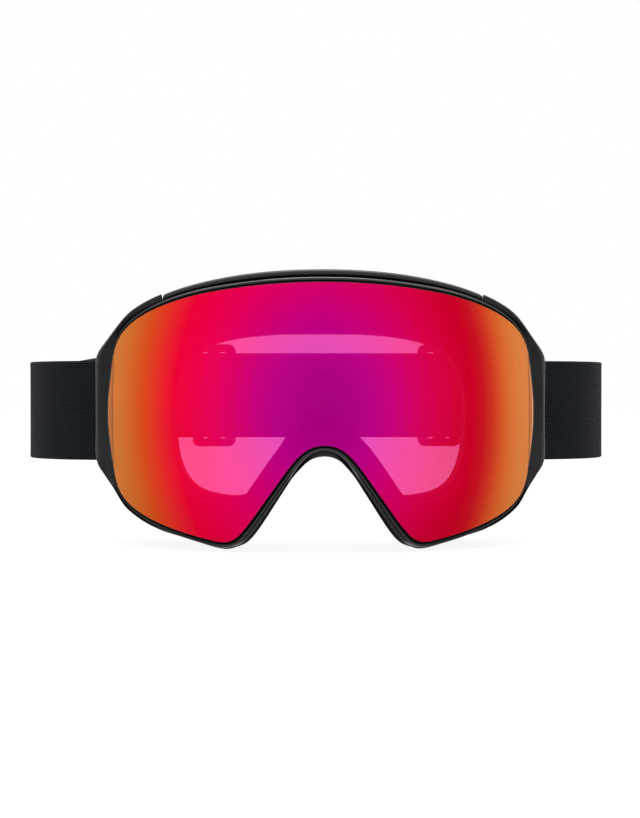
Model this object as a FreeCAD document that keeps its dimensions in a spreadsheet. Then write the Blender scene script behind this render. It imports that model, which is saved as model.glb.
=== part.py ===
import FreeCAD, Part

# Ski goggles with a magnetically held cylindrical lens, as a bench-separable assembly.
# Frame of the model: +X is the wearer's left, +Y runs back towards the wearer's head, +Z is up,
# millimetres. The origin is the centre of the overall box, inside the strap loop.
# "Design" coordinates used below have their zero on the lens apex; origin_y and origin_z move
# them to the model's own frame. Each sub-part is one object of the document, named by its Label.

import math
import os

import Sketcher

V = FreeCAD.Vector
doc = FreeCAD.newDocument("ski_goggles")

# ------------------------------------------------------------------ driving dimensions
DIMS = [
    ("lens_radius", 105.0, "radius of the outer lens surface, about a vertical axis"),
    ("lens_thick", 1.6, "outer lens thickness"),
    ("inner_depth", 7.0, "radial depth of the inner lens front"),
    ("inner_thick", 1.0, "inner lens thickness"),
    ("inner_inset", 3.5, "inner lens edge, in from the outer lens edge"),
    ("spacer_width", 4.8, "spacer's inner edge, in from the inner lens edge"),
    ("rim_width", 1.9, "carrier width outside the lens edge"),
    ("rim_inset", 3.3, "carrier ledge width inside the lens edge"),
    ("rim_depth", 7.95, "radial depth of the carrier"),
    ("seat_depth", 8.2, "radial depth of the frame seat face"),
    ("seat_back", 11.0, "radial depth of the back of the seat"),
    ("wall", 2.2, "frame wall"),
    ("face_radius", 95.0, "radius of the face side in plan"),
    ("face_y", 30.0, "face plate front on the centre line, behind the lens apex"),
    ("nose_pull", 11.0, "how far the face side comes forward over the nose"),
    ("plate_thick", 1.8, "face plate thickness"),
    ("foam_dense", 4.0, "dense foam layer"),
    ("foam_soft", 9.6, "soft foam layer"),
    ("fleece_thick", 1.3, "fleece layer"),
    ("magnet_length", 8.0, "magnet along the rim"),
    ("magnet_width", 2.6, "magnet across the rim"),
    ("magnet_thick", 1.7, "magnet thickness"),
    ("mask_mag_x", 12.0, "mask magnet length"),
    ("mask_mag_y", 4.6, "mask magnet width"),
    ("mask_mag_z", 2.0, "mask magnet thickness"),
    ("hinge_x", 83.0, "outrigger pin, from the centre plane"),
    ("hinge_y", 61.5, "outrigger pin, behind the lens apex"),
    ("strap_zc", -0.8, "height of the strap centre at the frame"),
    ("pin_radius", 1.0, "outrigger pin"),
    ("pin_length", 40.0, "outrigger pin length"),
    ("pin_head_r", 1.9, "pin head radius"),
    ("pin_head", 0.8, "pin head thickness"),
    ("bore_radius", 1.06, "outrigger bore"),
    ("barrel_radius", 3.0, "outrigger barrel"),
    ("barrel_length", 30.0, "outrigger barrel length"),
    ("arm_height", 45.4, "outrigger height"),
    ("arm_front", -0.5, "arm plate front, from the pin"),
    ("arm_rear", 9.4, "arm plate rear, from the pin"),
    ("arm_in", 4.9, "arm plate inner face, from the pin"),
    ("arm_out", 7.0, "arm plate outer face, from the pin"),
    ("bar_x", 5.4, "strap bar, outwards from the pin"),
    ("bar_y", 14.0, "strap bar, back from the pin"),
    ("bar_radius", 1.5, "strap bar"),
    ("ear_radius", 3.1, "ear round the strap bar"),
    ("ear_thick", 1.7, "ear thickness"),
    ("lug_height", 4.4, "frame lug height"),
    ("strap_height", 41.2, "strap webbing width"),
    ("web_thick", 1.5, "webbing thickness"),
    ("web_gap", 0.3, "gap between webbing layers"),
    ("loop_side", 35.0, "how far the loop swells out beyond the strap bar"),
    ("loop_mid", 39.5, "widest point of the loop, behind the strap bar"),
    ("loop_back", 84.5, "rear of the loop, behind its widest point"),
    ("rear_flat", 78.0, "half length of the flat rear run"),
    ("strap_rise", 6.2, "how much higher the strap runs at the rear"),
    ("slider_x_left", 62.0, "left adjuster centre, from the centre plane"),
    ("slider_x_right", 48.0, "right adjuster centre, from the centre plane"),
    ("slider_width", 21.0, "adjuster along the strap"),
    ("slider_height", 49.8, "adjuster height"),
    ("slider_depth", 7.4, "adjuster depth"),
    ("slider_bar", 5.0, "adjuster bars"),
    ("bead_width", 1.3, "silicone bead"),
    ("bead_thick", 0.4, "silicone bead thickness"),
    ("origin_y", 101.775, "model origin behind the lens apex"),
    ("origin_z", -0.24, "model origin above the lens centre"),
]
sheet = doc.addObject("Spreadsheet::Sheet", "dims")
sheet.Label = "dims"
for line, (alias, value, note) in enumerate(DIMS, start=1):
    sheet.set("A%d" % line, alias)
    sheet.set("B%d" % line, "%s" % value)
    sheet.setAlias("B%d" % line, alias)
    sheet.set("C%d" % line, note)
doc.recompute()


def dim(alias):
    return float(sheet.get(alias))


LENS_RADIUS = dim("lens_radius")
LENS_THICK = dim("lens_thick")
INNER_DEPTH = dim("inner_depth")
RIM_WIDTH = dim("rim_width")
RIM_DEPTH = dim("rim_depth")
SEAT_DEPTH = dim("seat_depth")
SEAT_BACK = dim("seat_back")
WALL = dim("wall")
HINGE_X, HINGE_Y = dim("hinge_x"), dim("hinge_y")
STRAP_Z = dim("strap_zc")
ORIGIN_Y, ORIGIN_Z = dim("origin_y"), dim("origin_z")
SIDES = (("left", 1), ("right", -1))

# ------------------------------------------------------------------ outlines, half of each
# Seen from the front: (x, z) pairs on the +X half, from the top centre round to the nose top.
LENS_HALF = [
    (0, 48.0), (19.0, 47.4), (37.6, 45.5), (49.1, 43.6), (57.4, 41.5), (64.2, 39.2),
    (69.0, 37.1), (72.9, 34.9), (76.0, 32.6), (78.5, 30.0), (80.4, 27.2), (82.0, 23.2),
    (83.5, 14.5), (84.6, 4.5), (84.7, -4.6), (83.9, -13.5), (82.5, -22.4), (81.2, -28.2),
    (78.9, -33.3), (75.0, -37.5), (68.2, -41.7), (57.6, -45.8), (48.0, -48.4),
    (41.4, -49.8), (37.2, -50.1), (33.8, -48.9), (31.0, -46.4), (27.7, -42.3),
    (23.1, -35.9), (18.0, -28.7), (13.6, -22.6), (9.9, -18.2), (5.6, -14.9), (0, -13.6),
]
RIM_HALF = [
    (0, 52.7), (18.1, 52.2), (35.9, 50.4), (46.9, 48.5), (55.8, 46.4), (62.2, 44.4),
    (67.9, 42.1), (72.3, 39.8), (75.6, 37.6), (78.4, 35.0), (80.9, 32.2), (83.6, 29.0),
    (86.3, 25.8), (88.5, 23.0), (89.7, 20.2), (89.95, 16.0), (90.0, 8.0), (90.0, -2.0),
    (90.0, -12.0), (89.8, -18.8), (89.0, -22.0), (87.0, -25.0), (84.2, -28.7),
    (81.5, -32.3), (79.3, -35.6), (77.2, -38.1), (74.6, -40.2), (71.4, -42.3),
    (67.6, -44.3), (62.6, -46.3), (56.6, -48.3), (50.1, -50.3), (43.8, -52.1),
    (38.8, -53.1), (35.0, -52.9), (31.9, -51.2), (29.0, -48.2), (25.5, -43.9),
    (21.9, -39.3), (18.5, -34.8), (15.2, -30.3), (12.0, -26.0), (8.8, -22.2),
    (5.2, -18.9), (0, -17.5),
]
FACE_HALF = [
    (0, 47.3), (20, 46.8), (38, 45.0), (52, 41.2), (63, 35.6), (71, 28.0), (75.6, 18.5),
    (77.4, 8.0), (77.6, -4.0), (76.2, -16.0), (72.6, -27.0), (66.5, -36.0), (58.5, -42.2),
    (49.5, -45.7), (42.0, -47.0), (36.0, -46.0), (31.0, -42.6), (26.0, -37.2), (20.6, -30.2),
    (15.6, -23.6), (10.8, -18.0), (5.6, -14.4), (0, -13.2),
]
APERTURE_HALF = [
    (0, 29.7), (14, 29.6), (28, 28.7), (39, 26.9), (47.2, 24.0), (52.8, 19.4), (56.6, 12.5),
    (58.4, 4.0), (58.7, -5.0), (58.3, -13.0), (56.6, -21.5), (53.2, -28.0), (48.6, -31.9),
    (41.5, -34.0), (34.5, -34.6), (29.6, -33.6), (26.6, -30.2), (22.8, -24.6), (18.4, -17.8),
    (13.9, -10.6), (9.6, -3.9), (5.0, 0.2), (0, 1.5),
]
DENSE_COUNT = 900
# Stations round the half outline: top centre to the side, to the lobe's tip, to the nose top.
TOP_STEPS, SIDE_STEPS, NOSE_STEPS = 25, 23, 21
SIDE_ANCHOR_Z = -2.0
PACKING = 1.45  # power that crowds the stations towards the lobe's tip


def smooth_step(value):
    value = max(0.0, min(1.0, value))
    return value * value * (3 - 2 * value)


def lerp(start, end, fraction):
    return tuple(start[k] + fraction * (end[k] - start[k]) for k in range(len(start)))


def smooth_outline(half):
    """closed smooth outline through the half and its mirror image, evenly sampled"""
    mirrored = [(-x, z) for x, z in reversed(half[1:-1])]
    curve = Part.BSplineCurve()
    curve.interpolate([V(x, 0, z) for x, z in half + mirrored], PeriodicFlag=True)
    return [(p.x, p.z) for p in curve.toShape().discretize(DENSE_COUNT + 1)[:-1]]


def arc_lengths(points):
    lengths = [0.0]
    for start, end in zip(points, points[1:]):
        lengths.append(lengths[-1] + math.hypot(end[0] - start[0], end[1] - start[1]))
    return lengths


def along(points, lengths, distance):
    """the point of a polyline at a distance from its start"""
    low, high = 0, len(lengths) - 1
    while high - low > 1:
        middle = (low + high) // 2
        if lengths[middle] <= distance:
            low = middle
        else:
            high = middle
    span = lengths[high] - lengths[low]
    fraction = (distance - lengths[low]) / span if span > 1e-12 else 0.0
    return lerp(points[low], points[high], fraction)


def right_half(dense):
    """the +X half, from the top centre to the nose top, ends exactly on the centre plane"""
    count = len(dense)
    start = max(range(count), key=lambda i: dense[i][1] - 3 * abs(dense[i][0]))
    points = [dense[(start + i) % count] for i in range(count)]
    if points[5][0] < 0:
        points = [points[0]] + points[1:][::-1]
    half = [(0.0, points[0][1])]
    for point in points[1:]:
        if point[0] > 0.05:
            half.append(point)
        elif len(half) > 20:
            break
    half.append((0.0, half[-1][1]))
    return half


def even(fraction):
    return fraction


def pack_end(fraction):
    return 1.0 - (1.0 - fraction) ** PACKING


def pack_start(fraction):
    return fraction ** PACKING


def stations(half):
    """matched points on the +X half, by arc length between the anchors"""
    lengths = arc_lengths(half)
    side = min(
        (i for i in range(len(half)) if half[i][0] > 45),
        key=lambda i: abs(half[i][1] - SIDE_ANCHOR_Z),
    )
    tip = min(range(len(half)), key=lambda i: half[i][1])
    runs = (
        (TOP_STEPS, even, 0.0, lengths[side]),
        (SIDE_STEPS, pack_end, lengths[side], lengths[tip]),
        (NOSE_STEPS, pack_start, lengths[tip], lengths[-1]),
    )
    found = []
    for steps, spacing, start, end in runs:
        for k in range(steps):
            distance = start + spacing(k / float(steps)) * (end - start)
            found.append(along(half, lengths, distance))
    found.append(half[-1])
    return found


def closed_stations(half):
    """the +X half stations and their mirror image, as one closed loop"""
    return list(half) + [(-x, z) for x, z in reversed(half[1:-1])]


def matched_loop(dense):
    return closed_stations(stations(right_half(dense)))


def unroll(point):
    """(x, z) on the lens cylinder, to (arc length, z) on the cylinder laid flat"""
    return (LENS_RADIUS * math.asin(point[0] / LENS_RADIUS), point[1])


def normals(points):
    """outward normals of a closed loop; the first point is on its top edge"""
    found = []
    for i in range(len(points)):
        before, after = points[i - 1], points[(i + 1) % len(points)]
        run_x, run_z = after[0] - before[0], after[1] - before[1]
        size = math.hypot(run_x, run_z)
        found.append((-run_z / size, run_x / size))
    return found


def outward_normals(points, top=0):
    """normals turned so that the one at the top point goes up"""
    found = normals(points)
    if found[top][1] < 0:
        found = [(-x, -z) for x, z in found]
    return found


lens_dense = smooth_outline(LENS_HALF)
LENS = [unroll(p) for p in matched_loop(lens_dense)]
RIM = matched_loop(smooth_outline(RIM_HALF))
FACE = matched_loop(smooth_outline(FACE_HALF))
APERTURE = matched_loop(smooth_outline(APERTURE_HALF))
RIM_FLAT = [unroll(p) for p in RIM]
COUNT = len(LENS)
LENS_NORMALS = outward_normals(LENS)
FACE_NORMALS = outward_normals(FACE)


def outset(i, amount):
    """a point outside the lens edge (inside if negative), in the unrolled plane"""
    i %= COUNT
    return (
        LENS[i][0] + amount * LENS_NORMALS[i][0],
        LENS[i][1] + amount * LENS_NORMALS[i][1],
    )


def inset_loop(amount):
    """a clean inward offset of the lens edge in the unrolled plane, matched to the stations"""
    dense = [unroll(p) for p in lens_dense[::2]]
    top = max(range(len(dense)), key=lambda i: dense[i][1])
    least = (amount - 0.02) ** 2
    kept = []
    for point, normal in zip(dense, outward_normals(dense, top)):
        x, z = point[0] - amount * normal[0], point[1] - amount * normal[1]
        # points that fall too near another part of the edge would make loops
        if min((x - d[0]) ** 2 + (z - d[1]) ** 2 for d in dense) >= least:
            kept.append((x, z))
    points = stations(right_half(kept))
    for _ in range(2):
        smoothed = [
            tuple((points[i - 1][k] + 2 * points[i][k] + points[i + 1][k]) / 4 for k in range(2))
            for i in range(1, len(points) - 1)
        ]
        points = [points[0]] + smoothed + [points[-1]]
    return closed_stations(points)


def bend(point, depth):
    """a point of the unrolled plane, at a radial depth behind the lens surface"""
    angle = point[0] / LENS_RADIUS
    radius = LENS_RADIUS - depth
    return V(radius * math.sin(angle), LENS_RADIUS - radius * math.cos(angle), point[1])


def bend_loop(points, depth):
    return [bend(p, depth) for p in points]


NOSE_HALF_WIDTH = 20.0
NOSE_TOP_Z = 6.0
NOSE_FADE = 26.0


def face_depth(x, z):
    """front of the face plate, behind the lens apex: an arc that comes forward over the nose"""
    radius = dim("face_radius")
    across = math.exp(-((x / NOSE_HALF_WIDTH) ** 2))
    nose = dim("nose_pull") * across * smooth_step((NOSE_TOP_Z - z) / NOSE_FADE)
    return dim("face_y") + radius - math.sqrt(radius * radius - x * x) - nose


def shifted(point):
    """design coordinates to the model's frame"""
    return V(point.x, point.y - ORIGIN_Y, point.z - ORIGIN_Z)


def place(x, y, z):
    return shifted(V(x, y, z))


# ------------------------------------------------------------------ solids from vertex loops
def solid_of(faces):
    shell = Part.makeShell(faces)
    shell.sewShape()
    solid = Part.makeSolid(shell)
    if solid.Volume < 0:
        solid.reverse()
    return solid


def shared_parameters(loops, closed):
    """one set of spline parameters for all corners, from their mean step"""
    count = len(loops[0])
    at = [0.0]
    for k in range(count if closed else count - 1):
        step = sum((pts[(k + 1) % count] - pts[k]).Length for pts in loops) / len(loops)
        at.append(at[-1] + max(step, 0.05))
    return at


def side_faces(edges):
    faces = []
    for i, edge in enumerate(edges):
        faces += Part.makeRuledSurface(edge, edges[(i + 1) % len(edges)]).Faces
    return faces


def ring(loops, at=None):
    """a closed ring: each loop is one corner of the section, carried all the way round"""
    if at is None:
        at = shared_parameters(loops, closed=True)
    edges = []
    for points in loops:
        curve = Part.BSplineCurve()
        curve.interpolate(Points=[shifted(p) for p in points], PeriodicFlag=True, Parameters=at)
        edges.append(curve.toShape())
    return solid_of(side_faces(edges))


def end_faces(corners):
    """closes the end of a strip, with one face where its corners allow it"""
    # The corners may be out of plane: the face then fails or is invalid, and a fan is used.
    try:
        face = Part.Face(Part.makePolygon(corners + [corners[0]]))
    except Part.OCCError:
        face = None
    if face is not None and face.isValid():
        return [face]
    return [
        Part.Face(Part.makePolygon([corners[0], corners[k], corners[k + 1], corners[0]]))
        for k in range(1, len(corners) - 1)
    ]


def strip(loops):
    """an open strip: each loop is one corner of the section, with closed ends"""
    moved = [[shifted(p) for p in points] for points in loops]
    at = shared_parameters(moved, closed=False)
    edges = []
    for points in moved:
        curve = Part.BSplineCurve()
        curve.interpolate(Points=points, Parameters=at)
        edges.append(curve.toShape())
    faces = side_faces(edges)
    for end in (0, -1):
        faces += end_faces([points[end] for points in moved])
    return solid_of(faces)


# ------------------------------------------------------------------ document objects
PIECES = []


def piece(obj):
    """marks an object as a sub-part, written out under its Label"""
    obj.Label = obj.Name
    PIECES.append(obj)


def sized(obj, **sizes):
    """sets sizes: text is an expression on the sheet, a number is a plain value"""
    for prop, size in sizes.items():
        if isinstance(size, str):
            obj.setExpression(prop, size)
        else:
            setattr(obj, prop, size)


def feature(name, shape):
    obj = doc.addObject("Part::Feature", name)
    obj.Shape = shape
    return obj


def cylinder(name, radius, height, base):
    obj = doc.addObject("Part::Cylinder", name)
    sized(obj, Radius=radius, Height=height)
    obj.Placement = FreeCAD.Placement(base, FreeCAD.Rotation())
    return obj


def box(name, sizes, placement):
    obj = doc.addObject("Part::Box", name)
    sized(obj, Length=sizes[0], Width=sizes[1], Height=sizes[2])
    obj.Placement = placement
    return obj


def cut(name, base, tool):
    obj = doc.addObject("Part::Cut", name)
    obj.Base, obj.Tool = base, tool
    return obj


def fuse(name, shapes):
    obj = doc.addObject("Part::MultiFuse", name)
    obj.Shapes = shapes
    return obj


def group(name, shapes):
    obj = doc.addObject("Part::Compound", name)
    obj.Links = shapes
    return obj


def about_z(degrees):
    return FreeCAD.Rotation(V(0, 0, 1), degrees)


def centred(middle, rotation, size):
    """placement of a turned box so that its middle is at a point of the model's frame"""
    return FreeCAD.Placement(middle - rotation.multVec(V(*size) * 0.5), rotation)


# ------------------------------------------------------------------ lens assembly
BAND_HEIGHT, BAND_BOTTOM = 104.0, -53.0  # cylindrical sheet the lenses are cut from
REAR_SIZE = (300.0, 200.0, 160.0)  # block that takes away the rear of the sheet
REAR_CORNER = (-150.0, 54.0, -80.0)
CUTTER_FRONT, CUTTER_BACK = 2.5, 4.0  # edge cutter, before and behind the lens front
SPACER_EDGE_GAP, SPACER_FACE_GAP = 0.1, 0.06
CARRIER_GAP = 0.12  # between the lens edge and the carrier
LEDGE_GAP = 0.1  # between the lens back and the carrier ledge

INNER = inset_loop(dim("inner_inset"))
SPACER_OUT = inset_loop(dim("inner_inset") + SPACER_EDGE_GAP)
SPACER_IN = inset_loop(dim("inner_inset") + dim("spacer_width"))
CARRIER_IN = inset_loop(dim("rim_inset"))


def edge_cutter(loop, near, deep):
    """everything outside an outline between two radial depths, as a ring with radial walls"""
    outer = []
    for i, point in enumerate(loop):
        half_i = min(i, COUNT - i)
        nose = smooth_step((half_i - TOP_STEPS - SIDE_STEPS * 0.55) / (SIDE_STEPS * 0.45))
        # scaled out from the outline, but a level line under the nose
        plain = (point[0] * 1.36, point[1] * 2.0)
        low = (point[0] * 1.25, -96.0)
        outer.append(lerp(plain, low, nose))
    corners = ((loop, near), (outer, near), (outer, deep), (loop, deep))
    return ring([bend_loop(points, depth) for points, depth in corners])


def bent_plate(name, loop, depth, radius, thick):
    """a lens: a cylindrical sheet cut to its outline with edges square to the sheet"""
    axis_foot = place(0, LENS_RADIUS, BAND_BOTTOM)
    outer = cylinder(name + "_outer", radius, BAND_HEIGHT, axis_foot)
    core = cylinder(name + "_core", "%s - %s" % (radius, thick), BAND_HEIGHT, axis_foot)
    sheet_part = cut(name + "_sheet", outer, core)
    rear_placement = FreeCAD.Placement(place(*REAR_CORNER), FreeCAD.Rotation())
    rear = box(name + "_rear", REAR_SIZE, rear_placement)
    front_part = cut(name + "_front", sheet_part, rear)
    cutter_shape = edge_cutter(loop, depth - CUTTER_FRONT, depth + CUTTER_BACK)
    return cut(name, front_part, feature(name + "_edge", cutter_shape))


def lens_spacer():
    front, rear = LENS_THICK + SPACER_FACE_GAP, INNER_DEPTH - SPACER_FACE_GAP
    corners = ((SPACER_OUT, front), (SPACER_OUT, rear), (SPACER_IN, rear), (SPACER_IN, front))
    return feature("lens_spacer_foam", ring([bend_loop(pts, depth) for pts, depth in corners]))


piece(bent_plate("lens_outer", LENS, 0.0, "dims.lens_radius", "dims.lens_thick"))
piece(
    bent_plate(
        "lens_inner", INNER, INNER_DEPTH, "dims.lens_radius - dims.inner_depth", "dims.inner_thick"
    )
)
piece(lens_spacer())

# Magnets: matched pairs, one in the carrier and one in the frame seat.
MAGNET_STATIONS = [3, 14, 26, 37, 57]
MAGNET_OUTSET = -0.6  # magnet centre, from the lens edge
MAGNET_COVER = 0.12  # magnet face, below the face it sits in
POCKET_SLACK = 0.3
POCKET_SHIFT = 0.1  # pocket centre, from the magnet's, towards the face it opens in

MAGNET_SIZE = [dim("magnet_length"), dim("magnet_width"), dim("magnet_thick")]
CARRIER_MAGNET_DEPTH = RIM_DEPTH - MAGNET_COVER - MAGNET_SIZE[2] / 2
FRAME_MAGNET_DEPTH = SEAT_DEPTH + MAGNET_COVER + MAGNET_SIZE[2] / 2


def magnet_seat(i, depth):
    """middle and rotation of a magnet: X along the rim, Z radial towards the lens axis"""
    before = bend(outset(i - 1, MAGNET_OUTSET), depth)
    after = bend(outset(i + 1, MAGNET_OUTSET), depth)
    middle = bend(outset(i, MAGNET_OUTSET), depth)
    run = (after - before).normalize()
    radial = bend(outset(i, MAGNET_OUTSET), depth + 1.0) - middle
    radial = (radial - run * radial.dot(run)).normalize()
    across = radial.cross(run)
    matrix = FreeCAD.Matrix(
        run.x, across.x, radial.x, 0,
        run.y, across.y, radial.y, 0,
        run.z, across.z, radial.z, 0,
        0, 0, 0, 1,
    )
    return shifted(middle), FreeCAD.Placement(matrix).Rotation


def magnet_group(name, depth, slack=0.0):
    """all the magnets of one layer, or their pockets with slack added to the sizes"""
    numbers = [size + slack for size in MAGNET_SIZE]
    sizes = [
        "dims.%s + %s" % (alias, slack)
        for alias in ("magnet_length", "magnet_width", "magnet_thick")
    ]
    made = []
    for k in MAGNET_STATIONS:
        for i in (k, COUNT - k):
            middle, rotation = magnet_seat(i, depth)
            placement = centred(middle, rotation, numbers)
            made.append(box("%s_box_%d" % (name, len(made)), sizes, placement))
    return group(name, made)


def lens_carrier():
    """ring round the lens edge, with a ledge behind the lens and magnet pockets"""
    # section corners outside the lens edge: distance out, radial depth
    outer_corners = [
        (CARRIER_GAP, 0.25), (0.9, 0.22), (RIM_WIDTH - 0.35, 0.6), (RIM_WIDTH, 1.4),
        (RIM_WIDTH, RIM_DEPTH - 0.7), (RIM_WIDTH - 0.7, RIM_DEPTH),
    ]

    def outer_loop(out, depth):
        return [bend(outset(i, out), depth) for i in range(COUNT)]

    ledge = LENS_THICK + LEDGE_GAP
    loops = [outer_loop(out, depth) for out, depth in outer_corners]
    loops += [bend_loop(CARRIER_IN, RIM_DEPTH), bend_loop(CARRIER_IN, ledge)]
    loops.append(outer_loop(CARRIER_GAP, ledge))
    blank = feature("carrier_blank", ring(loops))
    pocket_depth = CARRIER_MAGNET_DEPTH + POCKET_SHIFT
    return cut("lens_carrier", blank, magnet_group("carrier_pockets", pocket_depth, POCKET_SLACK))


piece(lens_carrier())
piece(magnet_group("lens_magnets", CARRIER_MAGNET_DEPTH))

# ------------------------------------------------------------------ frame
LIP_OUT = 2.3  # inside of the lip, out from the lens edge
LIP_DEPTH = 0.9  # radial depth of the lip's front edge
LIP_BELOW_SEAT = 0.5  # how far the lip still stands before the seat round the nose
WALL_OUT = 2.2  # front of the wall, out from the lens edge
WALL_DEPTH = SEAT_BACK + 0.8
WING_X, WING_RUN = 81.0, 6.0  # where the rim turns into the wings that carry the hinges
WING_REAR_Y = 56.2
WING_WALL = (78.4, 57.0)  # outside of the wall at the wings: x, y
WING_WALL_IN = (76.0, 56.0)  # inside of the wall at the wings: x, y
WING_SQUEEZE = 0.96  # wall height against rim height at the wings
PLATE_OVERLAP = -0.05  # rear of the wall, from the front of the face plate


def lip_depth(i):
    """radial depth of the lip's front edge: it drops almost to the seat round the nose"""
    x = abs(bend(LENS[i], 0).x)
    low = smooth_step((-12.0 - LENS[i][1]) / 10.0) * smooth_step((62.0 - x) / 12.0)
    return LIP_DEPTH + (SEAT_DEPTH - LIP_BELOW_SEAT - LIP_DEPTH) * low


def wall_end(x, z):
    return V(x, face_depth(x, z) + PLATE_OVERLAP, z)


def frame_section(i):
    """corners of the frame's section at a station, from the lip over the outside to the seat"""
    rim_x, rim_z = RIM[i]
    normal_x, normal_z = FACE_NORMALS[i]
    side = 1.0 if rim_x >= 0 else -1.0
    wing = smooth_step((abs(rim_x) - WING_X) / WING_RUN)
    wing_z = rim_z * WING_SQUEEZE

    lip = bend(outset(i, LIP_OUT), lip_depth(i))
    gap = math.hypot(rim_x - lip.x, rim_z - lip.z)
    rim_front = V(rim_x, lip.y + 0.5 + 0.42 * gap, rim_z)
    # part of the way to the rim, raised forwards to round the bevel
    lip_mid = V(
        lip.x + 0.72 * (rim_front.x - lip.x),
        lip.y + 0.30 * (rim_front.y - lip.y),
        lip.z + 0.72 * (rim_front.z - lip.z),
    )
    plain_rear_y = max(bend(LENS[i], SEAT_BACK - 0.6).y, rim_front.y + 1.5)
    rear_y = plain_rear_y * (1 - wing) + WING_REAR_Y * wing
    rim_back = V(rim_x, rear_y, rim_z)

    wing_wall = V(side * WING_WALL[0], WING_WALL[1], wing_z)
    wall_front = bend(outset(i, WALL_OUT), WALL_DEPTH) * (1 - wing) + wing_wall * wing
    wall_front.y = max(wall_front.y, rear_y + 0.5)
    wall_rear = wall_end(*FACE[i])
    middle = (wall_front + wall_rear) * 0.5
    wall_mid = V(middle.x + 0.5 * normal_x, middle.y - 0.8, middle.z + 0.5 * normal_z)

    inner_rear = wall_end(FACE[i][0] - WALL * normal_x, FACE[i][1] - WALL * normal_z)
    wing_inner = V(side * WING_WALL_IN[0], WING_WALL_IN[1], wing_z)
    inner_front = bend(outset(i, WALL_OUT - WALL * 1.1), WALL_DEPTH) * (1 - wing)
    inner_front += wing_inner * wing
    if wing > 0.5:
        inner_front.y = max(inner_front.y, wall_front.y - 1.2)
    else:
        inner_front.y += 0.2
    return (
        lip, lip_mid, rim_front, rim_back, wall_front, wall_mid, wall_rear,
        inner_rear, inner_front,
        bend(CARRIER_IN[i], SEAT_BACK), bend(CARRIER_IN[i], SEAT_DEPTH),
        bend(outset(i, LIP_OUT), SEAT_DEPTH),
    )


frame_loops = list(zip(*[frame_section(i) for i in range(COUNT)]))
# the inside of the wall, at the face plate and at the seat
INNER_REAR, INNER_FRONT = frame_loops[7:9]
frame_blank = feature("frame_blank", ring(frame_loops))

# The strip trimming the brow, and its pocket. Each row is a corner of the section: fraction of
# the way from the lens edge to the frame outline, radial depth, length added at each end.
BROW_X = 61.1
BROW_STEPS = 14
BROW_TRIM = [
    (0.52, 1.5, 0), (0.60, 0.9, 0), (0.86, 0.95, 0),
    (0.99, 1.9, 0), (1.0, 8.0, 0), (0.52, 8.0, 0),
]
BROW_POCKET = [(0.435, -4.0, 0.3), (1.7, -4.0, 1.7), (1.7, 8.1, 1.7), (0.435, 8.1, 0.3)]


def brow_run(fraction, depth, limit):
    """points along the top, from x = -limit to x = +limit"""
    line = [bend(lerp(LENS[i], RIM_FLAT[i], fraction), depth) for i in range(TOP_STEPS + 4)]
    half = []
    for k in range(BROW_STEPS + 1):
        x = limit * k / BROW_STEPS
        n = max(i for i in range(len(line) - 1) if line[i].x <= x + 1e-9)
        start, end = line[n], line[n + 1]
        half.append(start + (end - start) * ((x - start.x) / (end.x - start.x)))
    return [V(-p.x, p.y, p.z) for p in reversed(half[1:])] + half


def brow_strip(name, corners):
    runs = [brow_run(fraction, depth, BROW_X + extra) for fraction, depth, extra in corners]
    return feature(name, strip(runs))


piece(brow_strip("brow_trim", BROW_TRIM))
brow_pocket = brow_strip("brow_pocket", BROW_POCKET)
frame_pockets = magnet_group("frame_pockets", FRAME_MAGNET_DEPTH - POCKET_SHIFT, POCKET_SLACK)

TOP_VENT_X = (0.0, 17.0, 33.5, 49.0)
TOP_VENT_LENGTH, TOP_VENT_HEIGHT, TOP_VENT_Z = 12.6, 22.0, 50.0
TOP_VENT_FRONT = 13.6  # vent front, behind the lens surface
TOP_VENT_REAR = 3.6  # vent rear, before the face plate
FACE_SAMPLE_Z = 46  # height at which the face plate's depth is taken
TOP_VENT_TURN = 0.95  # share of the lens slope the vents follow
LOW_VENT_SIZE = (8.5, 7.0, 16.0)
LOW_VENT_MIDDLE = (66.0, 46.5, -42.0)
LOW_VENT_SLOPE_X = 70.5
LOW_VENT_TURN = 0.9


def turned_box(name, number_sizes, middle, side, degrees, sizes=None):
    """a box on one side, turned about Z; sizes may bind it to the sheet"""
    x, y, z = middle
    placement = centred(place(side * x, y, z), about_z(side * degrees), number_sizes)
    return box(name, sizes or number_sizes, placement)


def lens_slope(x):
    return math.degrees(math.asin(x / LENS_RADIUS))


def vent_cutters():
    made = []
    for k, x in enumerate(TOP_VENT_X):
        front = LENS_RADIUS - math.sqrt(LENS_RADIUS * LENS_RADIUS - x * x) + TOP_VENT_FRONT
        rear = face_depth(x, FACE_SAMPLE_Z) - TOP_VENT_REAR
        size = (TOP_VENT_LENGTH, rear - front, TOP_VENT_HEIGHT)
        middle = (x, (front + rear) / 2, TOP_VENT_Z)
        turn = lens_slope(x) * TOP_VENT_TURN
        # the vent on the centre plane is made once
        for tag, side in SIDES if x else SIDES[:1]:
            made.append(turned_box("top_vent_%d_%s" % (k, tag), size, middle, side, turn))
    turn = lens_slope(LOW_VENT_SLOPE_X) * LOW_VENT_TURN
    for tag, side in SIDES:
        made.append(turned_box("low_vent_" + tag, LOW_VENT_SIZE, LOW_VENT_MIDDLE, side, turn))
    return made


# Mask magnets, in bosses low on the frame, open downwards.
MASK_X, MASK_Y = 53.0, 36.0
MASK_Z = -48.6  # underside of the magnets
MASK_TURN = 31.0
BOSS_SIZE = (15.0, 7.6, 5.2)
BOSS_RAISE = 0.15  # underside of the boss, above the magnet's
MASK_SLACK = 0.1
MASK_POCKET_BELOW = 1.0  # pocket cutter below the magnet
MASK_POCKET_EXTRA = 1.05  # pocket cutter height over the magnet's

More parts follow.
